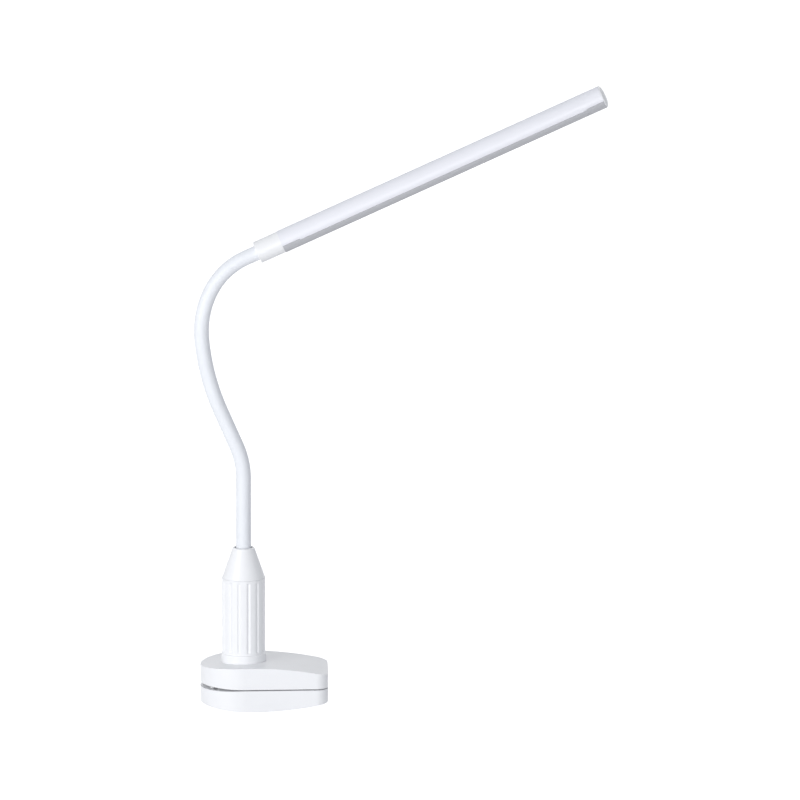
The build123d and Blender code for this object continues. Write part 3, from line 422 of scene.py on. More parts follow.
def raise_faces(bm, faces, height):
    """Raise faces along Z into a solid."""
    raised = bmesh.ops.extrude_face_region(bm, geom=faces)["geom"]
    bmesh.ops.translate(bm, vec=(0, 0, height), verts=kinds(raised, bmesh.types.BMVert))


def fill_and_raise(bm, height):
    """Fill the closed outline that a shape holds and raise it along Z into a solid."""
    raise_faces(bm, bmesh.ops.contextual_create(bm, geom=bm.edges[:])["faces"], height)
    bmesh.ops.recalc_face_normals(bm, faces=bm.faces)


def ring_sector(inner, outer, half_angle, height):
    """Curved plate: the part of a ring within an angle of +X on both sides, raised along Z."""
    bm = bmesh.new()
    across = Vector((cos(half_angle), -sin(half_angle), 0))
    ends = [bm.verts.new(across * inner), bm.verts.new(across * outer)]
    edge = bm.edges.new(ends)
    spin(bm, ends + [edge], 2 * half_angle, ceil(ROUND_STEPS * half_angle / pi))
    raise_faces(bm, bm.faces[:], height)
    close_up(bm)
    return bm


def join(*shapes):
    """Several shapes as one, which takes their place."""
    whole = bmesh.new()
    for shape in shapes:
        mesh = bpy.data.meshes.new("shape")
        shape.to_mesh(mesh)
        whole.from_mesh(mesh)
        bpy.data.meshes.remove(mesh)
        shape.free()
    return whole


def loose_object(name, bm):
    """Object for a shape, linked to the scene. The shape is used up."""
    mesh = bpy.data.meshes.new(name)
    bm.to_mesh(mesh)
    bm.free()
    made = bpy.data.objects.new(name, mesh)
    bpy.context.scene.collection.objects.link(made)
    return made


def carve(bm, tool):
    """Cut one closed shape out of another. Both are used up."""
    solid = loose_object("solid", bm)
    cutter = loose_object("cutter", tool)
    cutting = solid.modifiers.new("Cut", "BOOLEAN")
    cutting.operation = "DIFFERENCE"
    cutting.solver = "EXACT"
    cutting.object = cutter
    depsgraph = bpy.context.evaluated_depsgraph_get()
    result = bpy.data.meshes.new_from_object(solid.evaluated_get(depsgraph))
    carved = bmesh.new()
    carved.from_mesh(result)
    for used in (solid, cutter):
        bpy.data.meshes.remove(used.data)
    bpy.data.meshes.remove(result)
    return carved


def piece(name, bm, slot, *finish_names):
    """Piece from a shape, smooth but for its sharp edges. Its finish is its slot's where none is named."""
    bmesh.ops.remove_doubles(bm, verts=bm.verts, dist=WELD)
    uneven = [f for f in bm.faces if len(f.verts) > 4 or any(c.calc_angle() > STRAIGHT for c in f.loops)]
    bmesh.ops.triangulate(bm, faces=uneven, quad_method="BEAUTY", ngon_method="BEAUTY")
    made = loose_object(name, bm)
    for finish_name in finish_names or (slot,):
        made.data.materials.append(finish(finish_name))
    made.data.shade_smooth()
    made.data.set_sharp_from_angle(angle=CREASE)
    flatter = made.modifiers.new("Flat faces first", "WEIGHTED_NORMAL")
    flatter.keep_sharp = True
    return made


def stand_in(name, bm, slot, body, node, *finish_names):
    """Piece that rides on a body in place of a CAD node."""
    made = piece(name, bm, slot, *finish_names)
    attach(made, body)
    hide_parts(node)


def on_both_jaws(make, clip, name, slot, node):
    """Piece of the upper jaw, and its mirror image on the lower jaw."""
    for jaw, body in JAWS.items():
        bm = make(clip)
        if jaw == "lower":
            turn_over(bm)
        stand_in(f"{jaw}_{name}", bm, slot, body, f"{jaw}_{node}")


def dress(finish_name, *nodes):
    """Give CAD nodes that stay in view a finish."""
    for node in nodes:
        slots = frame["nodes"][node].data.materials
        slots.clear()
        slots.append(finish(finish_name))


# Shader node groups: each is built once and shared by several finishes
def feed(tree, socket, value):
    """Give a socket a plain number, or a link from another socket."""
    if isinstance(value, (int, float)):
        socket.default_value = value
    else:
        tree.links.new(value, socket)


def number_node(tree, operation, first, second):
    """Math node on two numbers or sockets."""
    node = tree.nodes.new("ShaderNodeMath")
    node.operation = operation
    feed(tree, node.inputs[0], first)
    feed(tree, node.inputs[1], second)
    return node.outputs[0]


def noise_node(tree, vector, scale, detail=2.0):
    """Noise texture on a vector, with a number or a socket for its scale."""
    node = tree.nodes.new("ShaderNodeTexNoise")
    node.inputs["Detail"].default_value = detail
    tree.links.new(vector, node.inputs["Vector"])
    feed(tree, node.inputs["Scale"], scale)
    return node.outputs[0]


def shade_node(tree, colour_socket, share, mask):
    """Colour darkened by a mask, by at most a share."""
    node = tree.nodes.new("ShaderNodeMix")
    node.data_type = "RGBA"
    node.blend_type = "MULTIPLY"
    tree.links.new(share, node.inputs["Factor"])
    tree.links.new(colour_socket, node.inputs[6])
    tree.links.new(mask, node.inputs[7])
    return node.outputs[2]


def new_group(name, inputs, outputs):
    """Empty shader group with named sockets, and its two end nodes."""
    group = bpy.data.node_groups.new(name, "ShaderNodeTree")
    for label, kind, value in inputs:
        group.interface.new_socket(name=label, in_out="INPUT", socket_type=kind).default_value = value
    for label, kind in outputs:
        group.interface.new_socket(name=label, in_out="OUTPUT", socket_type=kind)
    return group, group.nodes.new("NodeGroupInput").outputs, group.nodes.new("NodeGroupOutput").inputs


FLOAT = "NodeSocketFloat"
RGB = "NodeSocketColor"
VECTOR = "NodeSocketVector"
SURFACE_OUTPUTS = [("Colour", RGB), ("Roughness", FLOAT), ("Height", FLOAT)]

# Spots per metre of the slow patterns
CLOUD_SPOTS = 45.0
HANDLING_SPOTS = 160.0
TARNISH_SPOTS = 60.0


def put_out(group, given, result, share, shade, gloss, height):
    """Feed a group's outputs: colour darkened by one mask, roughness varied by another, and height."""
    group.links.new(shade_node(group, given["Colour"], given[share], shade), result["Colour"])
    patch = number_node(group, "SUBTRACT", gloss, 0.5)
    change = number_node(group, "MULTIPLY", patch, given["Gloss Variation"])
    group.links.new(number_node(group, "ADD", given["Roughness"], change), result["Roughness"])
    group.links.new(height, result["Height"])


def mould_grain():
    """Moulded plastic: faint clouds in the colour, a fine spark-eroded grain in gloss and height."""
    group, given, result = new_group(
        "Mould grain",
        [
            ("Colour", RGB, (0.8, 0.8, 0.8, 1.0)),
            ("Cloudiness", FLOAT, 0.05),
            ("Roughness", FLOAT, 0.4),
            ("Gloss Variation", FLOAT, 0.1),
            ("Grain Scale", FLOAT, 1500.0),
        ],
        SURFACE_OUTPUTS,
    )
    place = group.nodes.new("ShaderNodeTexCoord").outputs["Object"]
    clouds = noise_node(group, place, CLOUD_SPOTS)
    handling = noise_node(group, place, HANDLING_SPOTS, 4.0)
    grain = noise_node(group, place, given["Grain Scale"], 3.0)
    put_out(group, given, result, "Cloudiness", clouds, handling, grain)
    return group


def drawn_lines():
    """Drawn or brushed surface: fine lines along one direction, set by how the pattern is stretched."""
    group, given, result = new_group(
        "Drawn lines",
        [
            ("Colour", RGB, (0.6, 0.6, 0.6, 1.0)),
            ("Line Depth", FLOAT, 0.1),
            ("Roughness", FLOAT, 0.35),
            ("Gloss Variation", FLOAT, 0.15),
            ("Turn", VECTOR, (0.0, 0.0, 0.0)),
            ("Stretch", VECTOR, (3000.0, 3000.0, 60.0)),
        ],
        SURFACE_OUTPUTS,
    )
    place = group.nodes.new("ShaderNodeTexCoord").outputs["Object"]
    straight = group.nodes.new("ShaderNodeVectorRotate")
    straight.rotation_type = "EULER_XYZ"
    straight.invert = True
    group.links.new(place, straight.inputs["Vector"])
    group.links.new(given["Turn"], straight.inputs["Rotation"])
    pulled = group.nodes.new("ShaderNodeVectorMath")
    pulled.operation = "MULTIPLY"
    group.links.new(straight.outputs[0], pulled.inputs[0])
    group.links.new(given["Stretch"], pulled.inputs[1])
    lines = noise_node(group, pulled.outputs[0], 1.0, 4.0)
    clouds = noise_node(group, place, TARNISH_SPOTS)
    both = number_node(group, "MULTIPLY", number_node(group, "ADD", lines, clouds), 0.5)
    put_out(group, given, result, "Line Depth", both, both, lines)
    return group


GROUP_MAKERS = {"Mould grain": mould_grain, "Drawn lines": drawn_lines}


# Finishes: material, shared group, colour, values for the group, height of the relief, values for the shader
def moulded(label, tint, roughness, grain=0.004, **values):
    """Moulded plastic of one colour, with the height of its grain in millimetres."""
    settings = {"Cloudiness": 0.05, "Roughness": roughness, "Gloss Variation": 0.12, **values}
    return label, "Mould grain", tint, settings, grain * MM, {"Specular IOR Level": 0.5}


def metal(label, tint, roughness, stretch):
    """Drawn metal of one colour, with lines along the direction that is stretched least."""
    settings = {"Line Depth": 0.25, "Roughness": roughness, "Gloss Variation": 0.2, "Stretch": stretch}
    return label, "Drawn lines", tint, settings, 0.004 * MM, {"Metallic": 1.0}


def satin(label, tint, roughness, stretch):
    """Satin surface of one colour, with faint lines along the direction that is stretched least."""
    settings = {"Line Depth": 0.05, "Roughness": roughness, "Gloss Variation": 0.1, "Stretch": stretch}
    return label, "Drawn lines", tint, settings, 0.004 * MM, {"Specular IOR Level": 0.5}


FINISHES = {
    "shell_white": moulded("Moulding white", "moulding", 0.34),
    "plate_white": moulded("Plate white", "plate", 0.5, 0.01),
    "neck_white": moulded("Neck white", "neck", 0.46, 0.006, **{"Grain Scale": 2200.0}),
    "collar_white": moulded("Collar white", "collar", 0.32),
    "bar_white": satin("Bar white", "bar", 0.36, (2500.0, 2500.0, 25.0)),
    # Diffuser and end blocks: a grey that is partly the frosted plastic's own colour and partly painted shade
    "diffuser_frost": moulded("Diffuser frost", "frost", 0.42, 0.006, **{"Grain Scale": 3500.0}),
    "grip_rubber": moulded("Grip rubber", "rubber", 0.72, 0.03, Cloudiness=0.35),
    "spring_steel": metal("Spring steel", "steel", 0.28, (1500.0, 300.0, 1500.0)),
    "screw_steel": metal("Screw steel", "steel", 0.3, (2500.0, 2500.0, 2500.0)),
    "hose_steel": metal("Hose steel", "steel", 0.4, (800.0, 800.0, 1600.0)),
    "bush_brass": metal("Bush brass", "brass", 0.32, (400.0, 400.0, 2500.0)),
    "contact_metal": metal("Contact metal", "steel", 0.25, (2500.0, 200.0, 2500.0)),
    "socket_metal": metal("Socket metal", "steel", 0.3, (2500.0, 150.0, 2500.0)),
    "cell_wrap": moulded("Cell wrap", "wrap", 0.3, 0.003),
    "board_green": moulded("Board green", "board", 0.35, 0.01, Cloudiness=0.3),
    "switch_black": moulded("Switch black", "black", 0.45, 0.006, Cloudiness=0.3),
    "cable_grey": moulded("Cable grey", "lead", 0.5, 0.006, Cloudiness=0.2),
    "led_core": moulded("Led core", "light_strip", 0.45, 0.006),
    "led_yellow": moulded("Led yellow", "phosphor", 0.4, 0.006, Cloudiness=0.2),
}


def finish(finish_name, **more):
    """Material of a finish, made on its first use: a Principled shader fed by a shared group."""
    label, group_name, tint, settings, height, shader_values = FINISHES[finish_name]
    made = bpy.data.materials.get(label)
    if made:
        return made
    made = bpy.data.materials.new(label)
    made.use_nodes = True
    tree = made.node_tree
    shader = tree.nodes["Principled BSDF"]
    surface = tree.nodes.new("ShaderNodeGroup")
    surface.node_tree = bpy.data.node_groups.get(group_name) or GROUP_MAKERS[group_name]()
    surface.inputs["Colour"].default_value = (*getattr(bpy.context.scene.lamp_finishes, tint), 1.0)
    for socket, value in {**settings, **more}.items():
        surface.inputs[socket].default_value = value
    relief = tree.nodes.new("ShaderNodeBump")
    relief.inputs["Distance"].default_value = height
    tree.links.new(surface.outputs["Colour"], shader.inputs["Base Color"])
    tree.links.new(surface.outputs["Roughness"], shader.inputs["Roughness"])
    tree.links.new(surface.outputs["Height"], relief.inputs["Height"])
    tree.links.new(relief.outputs["Normal"], shader.inputs["Normal"])
    for socket, value in shader_values.items():
        shader.inputs[socket].default_value = value
    return made


# Clip jaws
def crown_z(clip, x):
    """Height of a jaw's crown above the grip plane."""
    return clip.crown_height - clip.crown_radius + sqrt(clip.crown_radius**2 - (x - clip.crown_centre) ** 2)


def side_y(clip, x):
    """Half width of a jaw."""
    return clip.tail_radius / cos(clip.side_taper) - x * tan(clip.side_taper)


def jaw_plan(bm, clip):
    """Outline of a jaw: round tail, tapering sides and a bowed mouth between two corners."""
    out = Vector((sin(clip.side_taper), cos(clip.side_taper), 0))
    along = Vector((out.y, -out.x, 0))
    corner, bow = clip.mouth_corner, clip.mouth_bow
    mouth_radius = (side_y(clip, clip.mouth_reach - bow) ** 2 + bow**2) / (2 * bow)
    mouth_centre = Vector((clip.mouth_reach - mouth_radius, 0, 0))
    start = out * (clip.tail_radius - corner)
    lead = (start - mouth_centre).dot(along)
    gap = (start - mouth_centre).length_squared - (mouth_radius - corner) ** 2
    back = start + along * (sqrt(lead**2 - gap) - lead)
    front = Vector((back.x, -back.y, 0))
    meet = asin(back.y / (mouth_radius - corner))
    turn = pi / 2 - clip.side_taper - meet
    front_side, front_mouth = Vector((out.x, -out.y, 0)), Vector((cos(meet), -sin(meet), 0))
    back_mouth = Vector((cos(meet), sin(meet), 0))
    link(bm, [
        arc(bm, clip.tail_radius * out, (0, 0, 0), pi + 2 * clip.side_taper, TAIL_STEPS),
        arc(bm, front + corner * front_side, front, turn, CORNER_STEPS),
        arc(bm, mouth_centre + mouth_radius * front_mouth, mouth_centre, 2 * meet, MOUTH_STEPS),
        arc(bm, back + corner * back_mouth, back, turn, CORNER_STEPS),
    ])
    bmesh.ops.remove_doubles(bm, verts=bm.verts, dist=WELD)


def cut_across(bm, x):
    """Cut a shape square across at x, keeping both sides."""
    everything = bm.verts[:] + bm.edges[:] + bm.faces[:]
    bmesh.ops.bisect_plane(bm, geom=everything, dist=WELD, plane_co=(x, 0, 0), plane_no=(1, 0, 0))


def jaw_shell(clip, wedge_start, tail_rise):
    """Hollow moulding of a jaw above the grip plane, open at its rim."""
    bm = bmesh.new()
    jaw_plan(bm, clip)
    flat_top = clip.jaw_face + clip.crown_height
    bmesh.ops.translate(bm, vec=(0, 0, clip.jaw_face), verts=bm.verts)
    fill_and_raise(bm, clip.crown_height)
    overall = clip.mouth_reach + clip.tail_radius
    for x in [overall * i / JAW_STRIPS - clip.tail_radius for i in range(1, JAW_STRIPS)] + [wedge_start]:
        cut_across(bm, x)
    bm.normal_update()
    soften(bm, creases(bm, lambda p: p.z < clip.jaw_face + NEAR), clip.rim_edge)
    bm.normal_update()
    underside = [f for f in bm.faces if f.normal.z < DOWNWARDS]
    wall = clip.wall - clip.rim_edge
    bmesh.ops.inset_region(bm, faces=underside, thickness=wall, use_even_offset=True, use_boundary=True)
    hollow = bmesh.ops.extrude_face_region(bm, geom=underside)["geom"]
    bmesh.ops.delete(bm, geom=underside, context="FACES")
    for v in kinds(hollow, bmesh.types.BMVert):
        v.co.z = crown_z(clip, v.co.x) - clip.roof
    for v in bm.verts:
        if v.co.z > flat_top - NEAR:
            v.co.z = crown_z(clip, v.co.x)
        elif v.co.z < clip.jaw_face + clip.rim_edge + NEAR and v.co.x < wedge_start:
            v.co.z += tail_rise * (wedge_start - v.co.x) / (wedge_start + clip.tail_radius)
    bmesh.ops.recalc_face_normals(bm, faces=bm.faces)
    soften(bm, creases(bm, lambda p: abs(p.z - crown_z(clip, p.x)) < NEAR), clip.crown_edge, 5)
    return bm


def stadium(width, height, depth):
    """Solid with a slot-shaped section, width along X and height along Y, raised along Z."""
    bm = bmesh.new()
    radius = height / 2
    middle = width / 2 - radius
    link(bm, [
        arc(bm, Vector((side * middle, -side * radius, 0)), (side * middle, 0, 0), pi, SLOT_STEPS)
        for side in (1, -1)
    ])
    fill_and_raise(bm, depth)
    return bm


def back_place(x, y, z):
    """Place on the back wall: shape X to the mouth, Y up and Z to the front."""
    return Matrix.Translation((x, y, z)) @ Matrix.Rotation(pi / 2, 4, "X")


def box_middle(low, high):
    """Middle of a box."""
    return (low + high) / 2


class LAMP_OT_clip_jaws(bpy.types.Operator):
    """Model the two jaw mouldings of the clip"""

    bl_idname = "lamp.clip_jaws"
    bl_label = "Clip jaws"

    def execute(self, context):
        clip, controls = context.scene.lamp_clip, context.scene.lamp_controls
        seat = rod(RING_HIGH.x + clip.seat_fit, RING_LOW.z, RING_LOW.z + clip.crown_height)
        outside = 2 * clip.tail_radius
        depth = outside - side_y(clip, clip.mouth_reach) + 2 * clip.wall
        socket, socket_size = box_middle(SOCKET_LOW, SOCKET_HIGH), SOCKET_HIGH - SOCKET_LOW
        slot = stadium(socket_size.x + 2 * clip.slot_fit, socket_size.z + 2 * clip.slot_fit, depth)
        move(slot, back_place(socket.x, outside, socket.z))
        button = box_middle(BUTTON_LOW, BUTTON_HIGH)
        hole = rod(controls.button_radius + clip.slot_fit, 0, depth, HOLE_STEPS)
        move(hole, back_place(button.x, outside, button.z))
        upper = jaw_shell(clip, clip.upper_wedge_start, clip.upper_tail_rise)
        upper = carve(upper, join(seat, slot, hole))
        stand_in("upper_jaw", upper, "shell_white", "clip_and_post", "upper_jaw_shell")
        lower = jaw_shell(clip, clip.lower_wedge_start, clip.lower_tail_drop)
        turn_over(lower)
        stand_in("lower_jaw_moulding", lower, "shell_white", "lower_jaw", "lower_jaw_shell")
        return {"FINISHED"}


# Grip pads and the plates that hold them
def grip_pad(clip):
    """Rubber pad of the upper jaw, with rounded grooves across the face that grips."""
    bm = bmesh.new()
    size = PAD_HIGH - PAD_LOW
    step = size.x / clip.pad_grooves
    half, depth = clip.pad_groove_width / 2, clip.pad_groove_depth
    line = [(0, size.z), (0, 0)]
    for middle in [step * (i + 0.5) for i in range(clip.pad_grooves)]:
        line += [(middle - half, 0), (middle - half, depth), (middle + half, depth), (middle + half, 0)]
    line += [(size.x, 0), (size.x, size.z)]
    points = [bm.verts.new((x, height, 0)) for x, height in line]
    for pair in zip(points, points[1:] + points[:1]):
        bm.edges.new(pair)
    fill_and_raise(bm, size.y)
    soften(bm, creases(bm, lambda p: True), clip.pad_edge)
    move(bm, back_place(PAD_LOW.x, PAD_HIGH.y, PAD_LOW.z))
    return bm


class LAMP_OT_grip_faces(bpy.types.Operator):
    """Model the grip pads and finish the plates that hold them"""

    bl_idname = "lamp.grip_faces"
    bl_label = "Grip faces"

    def execute(self, context):
        dress("plate_white", "upper_jaw_plate", "lower_jaw_plate")
        on_both_jaws(grip_pad, context.scene.lamp_clip, "pad", "grip_rubber", "grip_pad")
        return {"FINISHED"}


# Hinge pin and torsion spring
def sweep(bm, loop, centre, turn, advance, steps):
    """Carry a loop of edges round an axis along Y, or straight on, and give the loop at the end."""
    step = Vector(advance) / steps
    swept = bmesh.ops.spin(bm, geom=loop, cent=centre, axis=(0, 1, 0), angle=turn, dvec=step, steps=steps)
    return swept["geom_last"]


def ring(bm, radius, sides, place):
    """Circle of points and edges, square to the Z of its place."""
    points = bmesh.ops.create_circle(bm, segments=sides, radius=radius, matrix=place)["verts"]
    return points + list({edge for point in points for edge in point.link_edges})


def torsion_spring(clip):
    """Wire from the upper leg's tip, round the pin and out to the lower leg's tip."""
    bm = bmesh.new()
    wire = clip.spring_wire / 2
    coil_radius = SPRING_HIGH.z - wire
    climb = SPRING_HIGH.y - SPRING_LOW.y - 2 * wire
    leg = SPRING_HIGH.x - HINGE.x
    tip = Vector((SPRING_HIGH.x, SPRING_LOW.y + wire, coil_radius))
    first = ring(bm, wire, WIRE_SIDES, Matrix.Translation(tip) @ Matrix.Rotation(-pi / 2, 4, "Y"))
    loop = sweep(bm, first, HINGE, 0.0, (-leg, 0, 0), LEG_STEPS)
    turn, steps = -2 * pi * clip.spring_turns, round(COIL_STEPS * clip.spring_turns)
    loop = sweep(bm, loop, HINGE, turn, (0, climb, 0), steps)
    last = sweep(bm, loop, HINGE, 0.0, (leg, 0, 0), LEG_STEPS)
    for end in (first, last):
        bmesh.ops.contextual_create(bm, geom=kinds(end, bmesh.types.BMEdge))
    close_up(bm)
    return bm


class LAMP_OT_clip_hinge(bpy.types.Operator):
    """Model the hinge pin and the torsion spring of the clip"""

    bl_idname = "lamp.clip_hinge"
    bl_label = "Clip hinge"

    def execute(self, context):
        clip = context.scene.lamp_clip
        pin = rod(PIN_HIGH.z, -PIN_HIGH.y, PIN_HIGH.y, PIN_STEPS, clip.pin_edge)
        move(pin, Matrix.Translation(HINGE) @ Matrix.Rotation(pi / 2, 4, "X"))
        stand_in("clip_pin", pin, "spring_steel", "clip_and_post", "hinge_pin")
        spring = piece("torsion_spring", torsion_spring(clip), "spring_steel")
        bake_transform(spring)
        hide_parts("clip_spring")
        return {"FINISHED"}


# Post
def fluted_outline(bm, post, radius):
    """Closed line round the sleeve: panels on one circle with a round groove between each two."""
    depth = post.flute_depth
    groove = (post.flute_width**2 / 4 + depth**2) / (2 * depth)
    reach = radius - depth + groove
    edge = acos((radius**2 + reach**2 - groove**2) / (2 * radius * reach))
    opening = asin(radius * sin(edge) / groove)
    pitch = 2 * pi / post.flutes
    start = radius * Vector((cos(edge), sin(edge), 0))
    panel = arc(bm, start, (0, 0, 0), pitch - 2 * edge, FLUTE_STEPS)
    arc(bm, panel[1].co, reach * Vector((cos(pitch), sin(pitch), 0)), -2 * opening, FLUTE_STEPS)
    spin(bm, bm.verts[:] + bm.edges[:], 2 * pi - pitch, post.flutes - 1, use_duplicate=True)
    bmesh.ops.remove_doubles(bm, verts=bm.verts, dist=WELD)
    move(bm, Matrix.Rotation(pitch / 2 - pi / 2, 4, "Z"))


def fluted_sleeve(post):
    """Sleeve of the post. Its grooves fade out at both ends."""
    bm = bmesh.new()
    radius, low, high = SLEEVE_HIGH.x, SLEEVE_LOW.z, SLEEVE_HIGH.z
    foot, head = low + post.flute_foot, high - post.flute_foot
    fade = [post.flute_runout * i / FADE_STEPS for i in range(FADE_STEPS + 1)]
    fluted_outline(bm, post, radius)
    bmesh.ops.translate(bm, vec=(0, 0, low), verts=bm.verts)
    edges = bm.edges[:]
    for height in [foot + step for step in fade] + [head - step for step in reversed(fade)] + [high]:
        lifted = bmesh.ops.extrude_edge_only(bm, edges=edges)["geom"]
        for v in kinds(lifted, bmesh.types.BMVert):
            v.co.z = height
        edges = kinds(lifted, bmesh.types.BMEdge)
    bmesh.ops.recalc_face_normals(bm, faces=bm.faces)
    upright = [
        e for e in bm.edges
        if e.calc_face_angle(0.0) > CREASE and abs(e.verts[0].co.z - e.verts[1].co.z) > NEAR
    ]
    soften(bm, upright, post.flute_edge)
    for v in bm.verts:
        rise = min(v.co.z - foot, head - v.co.z) / post.flute_runout
        share = min(max(rise, 0.0), 1.0)
        depth = (radius - from_axis(v.co)) * share * share * (3 - 2 * share)
        set_radius(v, radius - depth)
    bore_ends = []
    for height in (low, high):
        outer = [e for e in bm.edges if e.is_boundary and abs(e.verts[0].co.z - height) < NEAR]
        drawn_in = bmesh.ops.extrude_edge_only(bm, edges=outer)["geom"]
        for v in kinds(drawn_in, bmesh.types.BMVert):
            set_radius(v, post.bore_radius)
        bore_ends += kinds(drawn_in, bmesh.types.BMEdge)
    bmesh.ops.bridge_loops(bm, edges=bore_ends)
    close_up(bm)
    return bm


class LAMP_OT_post(bpy.types.Operator):
    """Model the ring, the fluted sleeve and the cone of the post"""

    bl_idname = "lamp.post"
    bl_label = "Post"

    def execute(self, context):
        post = context.scene.lamp_post
        ring_top = SLEEVE_LOW.z
        floor = RING_LOW.z + post.ring_floor
        ring_rim = (RING_HIGH.x, ring_top)
        ring_shape = turned(
            [
                (post.wire_hole, RING_LOW.z), (RING_HIGH.x, RING_LOW.z), ring_rim,
                (post.spigot_radius, ring_top), (post.spigot_radius, RING_HIGH.z),
                (post.pocket_radius, RING_HIGH.z), (post.pocket_radius, floor), (post.wire_hole, floor),
            ],
            [(ring_rim, post.ring_edge)],
        )
        stand_in("post_foot_ring", ring_shape, "shell_white", "clip_and_post", "post_ring")
        sleeve = fluted_sleeve(post)
        stand_in("post_fluted_sleeve", sleeve, "shell_white", "clip_and_post", "post_sleeve")
        top, shoulder = CONE_HIGH.z, SLEEVE_HIGH.z
        rim, lip = (post.cone_top, top), (SLEEVE_HIGH.x, shoulder)
        bore_foot = top - post.bore_depth
        cone = turned(
            [
                (post.spigot_radius, CONE_LOW.z), (post.spigot_radius, shoulder), lip, rim,
                (post.cone_bore, top), (post.cone_bore, bore_foot), (post.pocket_radius, bore_foot),
                (post.pocket_radius, CONE_LOW.z),
            ],
            [(rim, post.cone_rim), (lip, post.shoulder_edge)],
        )
        stand_in("post_neck_cone", cone, "shell_white", "clip_and_post", "post_cone")
        return {"FINISHED"}


# Neck: places along its course, counted from the top of the cone
def neck_stretches(neck):
    """Runs and bends in order: length at the start and the end, start point, heading and bend radius."""
    course = [
        (neck.foot_run, neck.lean_radius, -neck.lean_angle),
        (neck.lean_run, neck.return_radius, neck.return_angle),
        (0.0, neck.arch_radius, neck.arch_angle),
        (0.0, neck.crook_radius, neck.crook_angle),
        (neck.head_run, 0.0, 0.0),
    ]
    stretches = []
    done, point, heading = 0.0, Vector((0, 0, CONE_HIGH.z)), 0.0
    for run, radius, turn in course:
        if run:
            stretches.append((done, done + run, point, heading, 0.0))
            done, point = done + run, point + run * onward(heading)
        if turn:
            bend = radius if turn > 0 else -radius
            stretches.append((done, done + radius * abs(turn), point, heading, bend))
            done, point = done + radius * abs(turn), point + bend * (inward(heading) - inward(heading + turn))
            heading += turn
    return stretches


def onward(heading):
    """Direction along the neck."""
    return Vector((sin(heading), 0, cos(heading)))


def inward(heading):
    """Direction square to the neck, to its right as the photo shows it."""
    return Vector((cos(heading), 0, -sin(heading)))


def neck_at(neck, place):
    """Point and heading of the neck's middle line, which goes straight on past both ends."""
    stretches = neck_stretches(neck)
    start, _, point, heading, bend = next((s for s in stretches if place <= s[1]), stretches[-1])
    beyond = place - start
    if not bend:
        return point + beyond * onward(heading), heading
    here = heading + beyond / bend
    return point + bend * (inward(heading) - inward(here)), here


def neck_length(neck):
    """Length of the neck from the cone to the collar."""
    return neck_stretches(neck)[-1][1]


def bar_heading(neck):
    """Heading of the light bar."""
    return neck_stretches(neck)[-1][3]


def neck_tube(neck, start, end, radii, sides, step):
    """Closed tube, or rod of one radius, that follows the neck from one length to another."""
    bm = bmesh.new()
    stops = [start] + [s[1] for s in neck_stretches(neck)[:-1] if start < s[1] < end] + [end]
    first_edges, last_edges = [], []
    for radius in radii:
        point, heading = neck_at(neck, start)
        loop = ring(bm, radius, sides, Matrix.Translation(point) @ Matrix.Rotation(heading, 4, "Y"))
        first_edges.append(kinds(loop, bmesh.types.BMEdge))
        for near, far in zip(stops, stops[1:]):
            point, heading = neck_at(neck, near)
            turn = neck_at(neck, far)[1] - heading
            steps = ceil((far - near) / step)
            if abs(turn) > NEAR:
                loop = sweep(bm, loop, point + inward(heading) * (far - near) / turn, turn, (0, 0, 0), steps)
            else:
                loop = sweep(bm, loop, point, 0.0, (far - near) * onward(heading), steps)
        last_edges.append(kinds(loop, bmesh.types.BMEdge))
    for ends in (first_edges, last_edges):
        if len(radii) == 1:
            bmesh.ops.contextual_create(bm, geom=ends[0])
        else:
            bmesh.ops.bridge_loops(bm, edges=ends[0] + ends[1])
    close_up(bm)
    return bm


class LAMP_OT_neck(bpy.types.Operator):
    """Model the neck's sleeve, hose and leads, one length for each bend, and finish its end fittings"""

    bl_idname = "lamp.neck"
    bl_label = "Neck"

    def execute(self, context):
        neck = context.scene.lamp_neck
        whole, bends = neck_length(neck), len(NECK_BENDS)
        # Layer, slot, lengths inside the cone and the collar, sides, step along the neck and radii
        layers = [
            ("sleeve", "neck_white", neck.sleeve_foot, neck.sleeve_head, 64, 0.8 * MM,
             (neck.sleeve_radius, neck.sleeve_radius - neck.sleeve_wall)),
            ("hose", "hose_steel", neck.hose_foot, neck.hose_head, 32, 1.5 * MM,
             (neck.hose_radius, neck.hose_radius - neck.hose_wall)),
            ("cable", "cable_grey", neck.hose_foot, neck.hose_head, 20, 1.5 * MM, (neck.cable_radius,)),
        ]
        easing = neck.sleeve_radius
        for layer, slot, foot, head, sides, step, radii in layers:
            for number, joint in enumerate(NECK_BENDS):
                near, far = whole * number / bends, whole * (number + 1) / bends
                start = -foot if number == 0 else near
                end = whole + head if number == bends - 1 else far
                tube = neck_tube(neck, start, end, radii, sides, step)
                made = piece(f"neck_{layer}_bend_{number + 1}", tube, slot)
                neck_at(neck, near + easing)[0]
                neck_at(neck, far - easing)[0]
                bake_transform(made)
                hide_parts(f"neck_{layer}_{number + 1}")
                if number == 0 and layer != "sleeve":
                    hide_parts(f"neck_{layer}_0")
        dress("bush_brass", "neck_ferrule_lower", "neck_ferrule_upper", "neck_nut")
        return {"FINISHED"}


# Light bar, modelled along Z with X towards the diffuser and then placed at the end of the neck
def bar_place(context, along):
    """Place on the light bar at a distance from the end of the neck."""
    neck = context.scene.lamp_neck
    point, heading = neck_at(neck, neck_length(neck) + along)
    return Matrix.Translation(point) @ Matrix.Rotation(heading, 4, "Y")


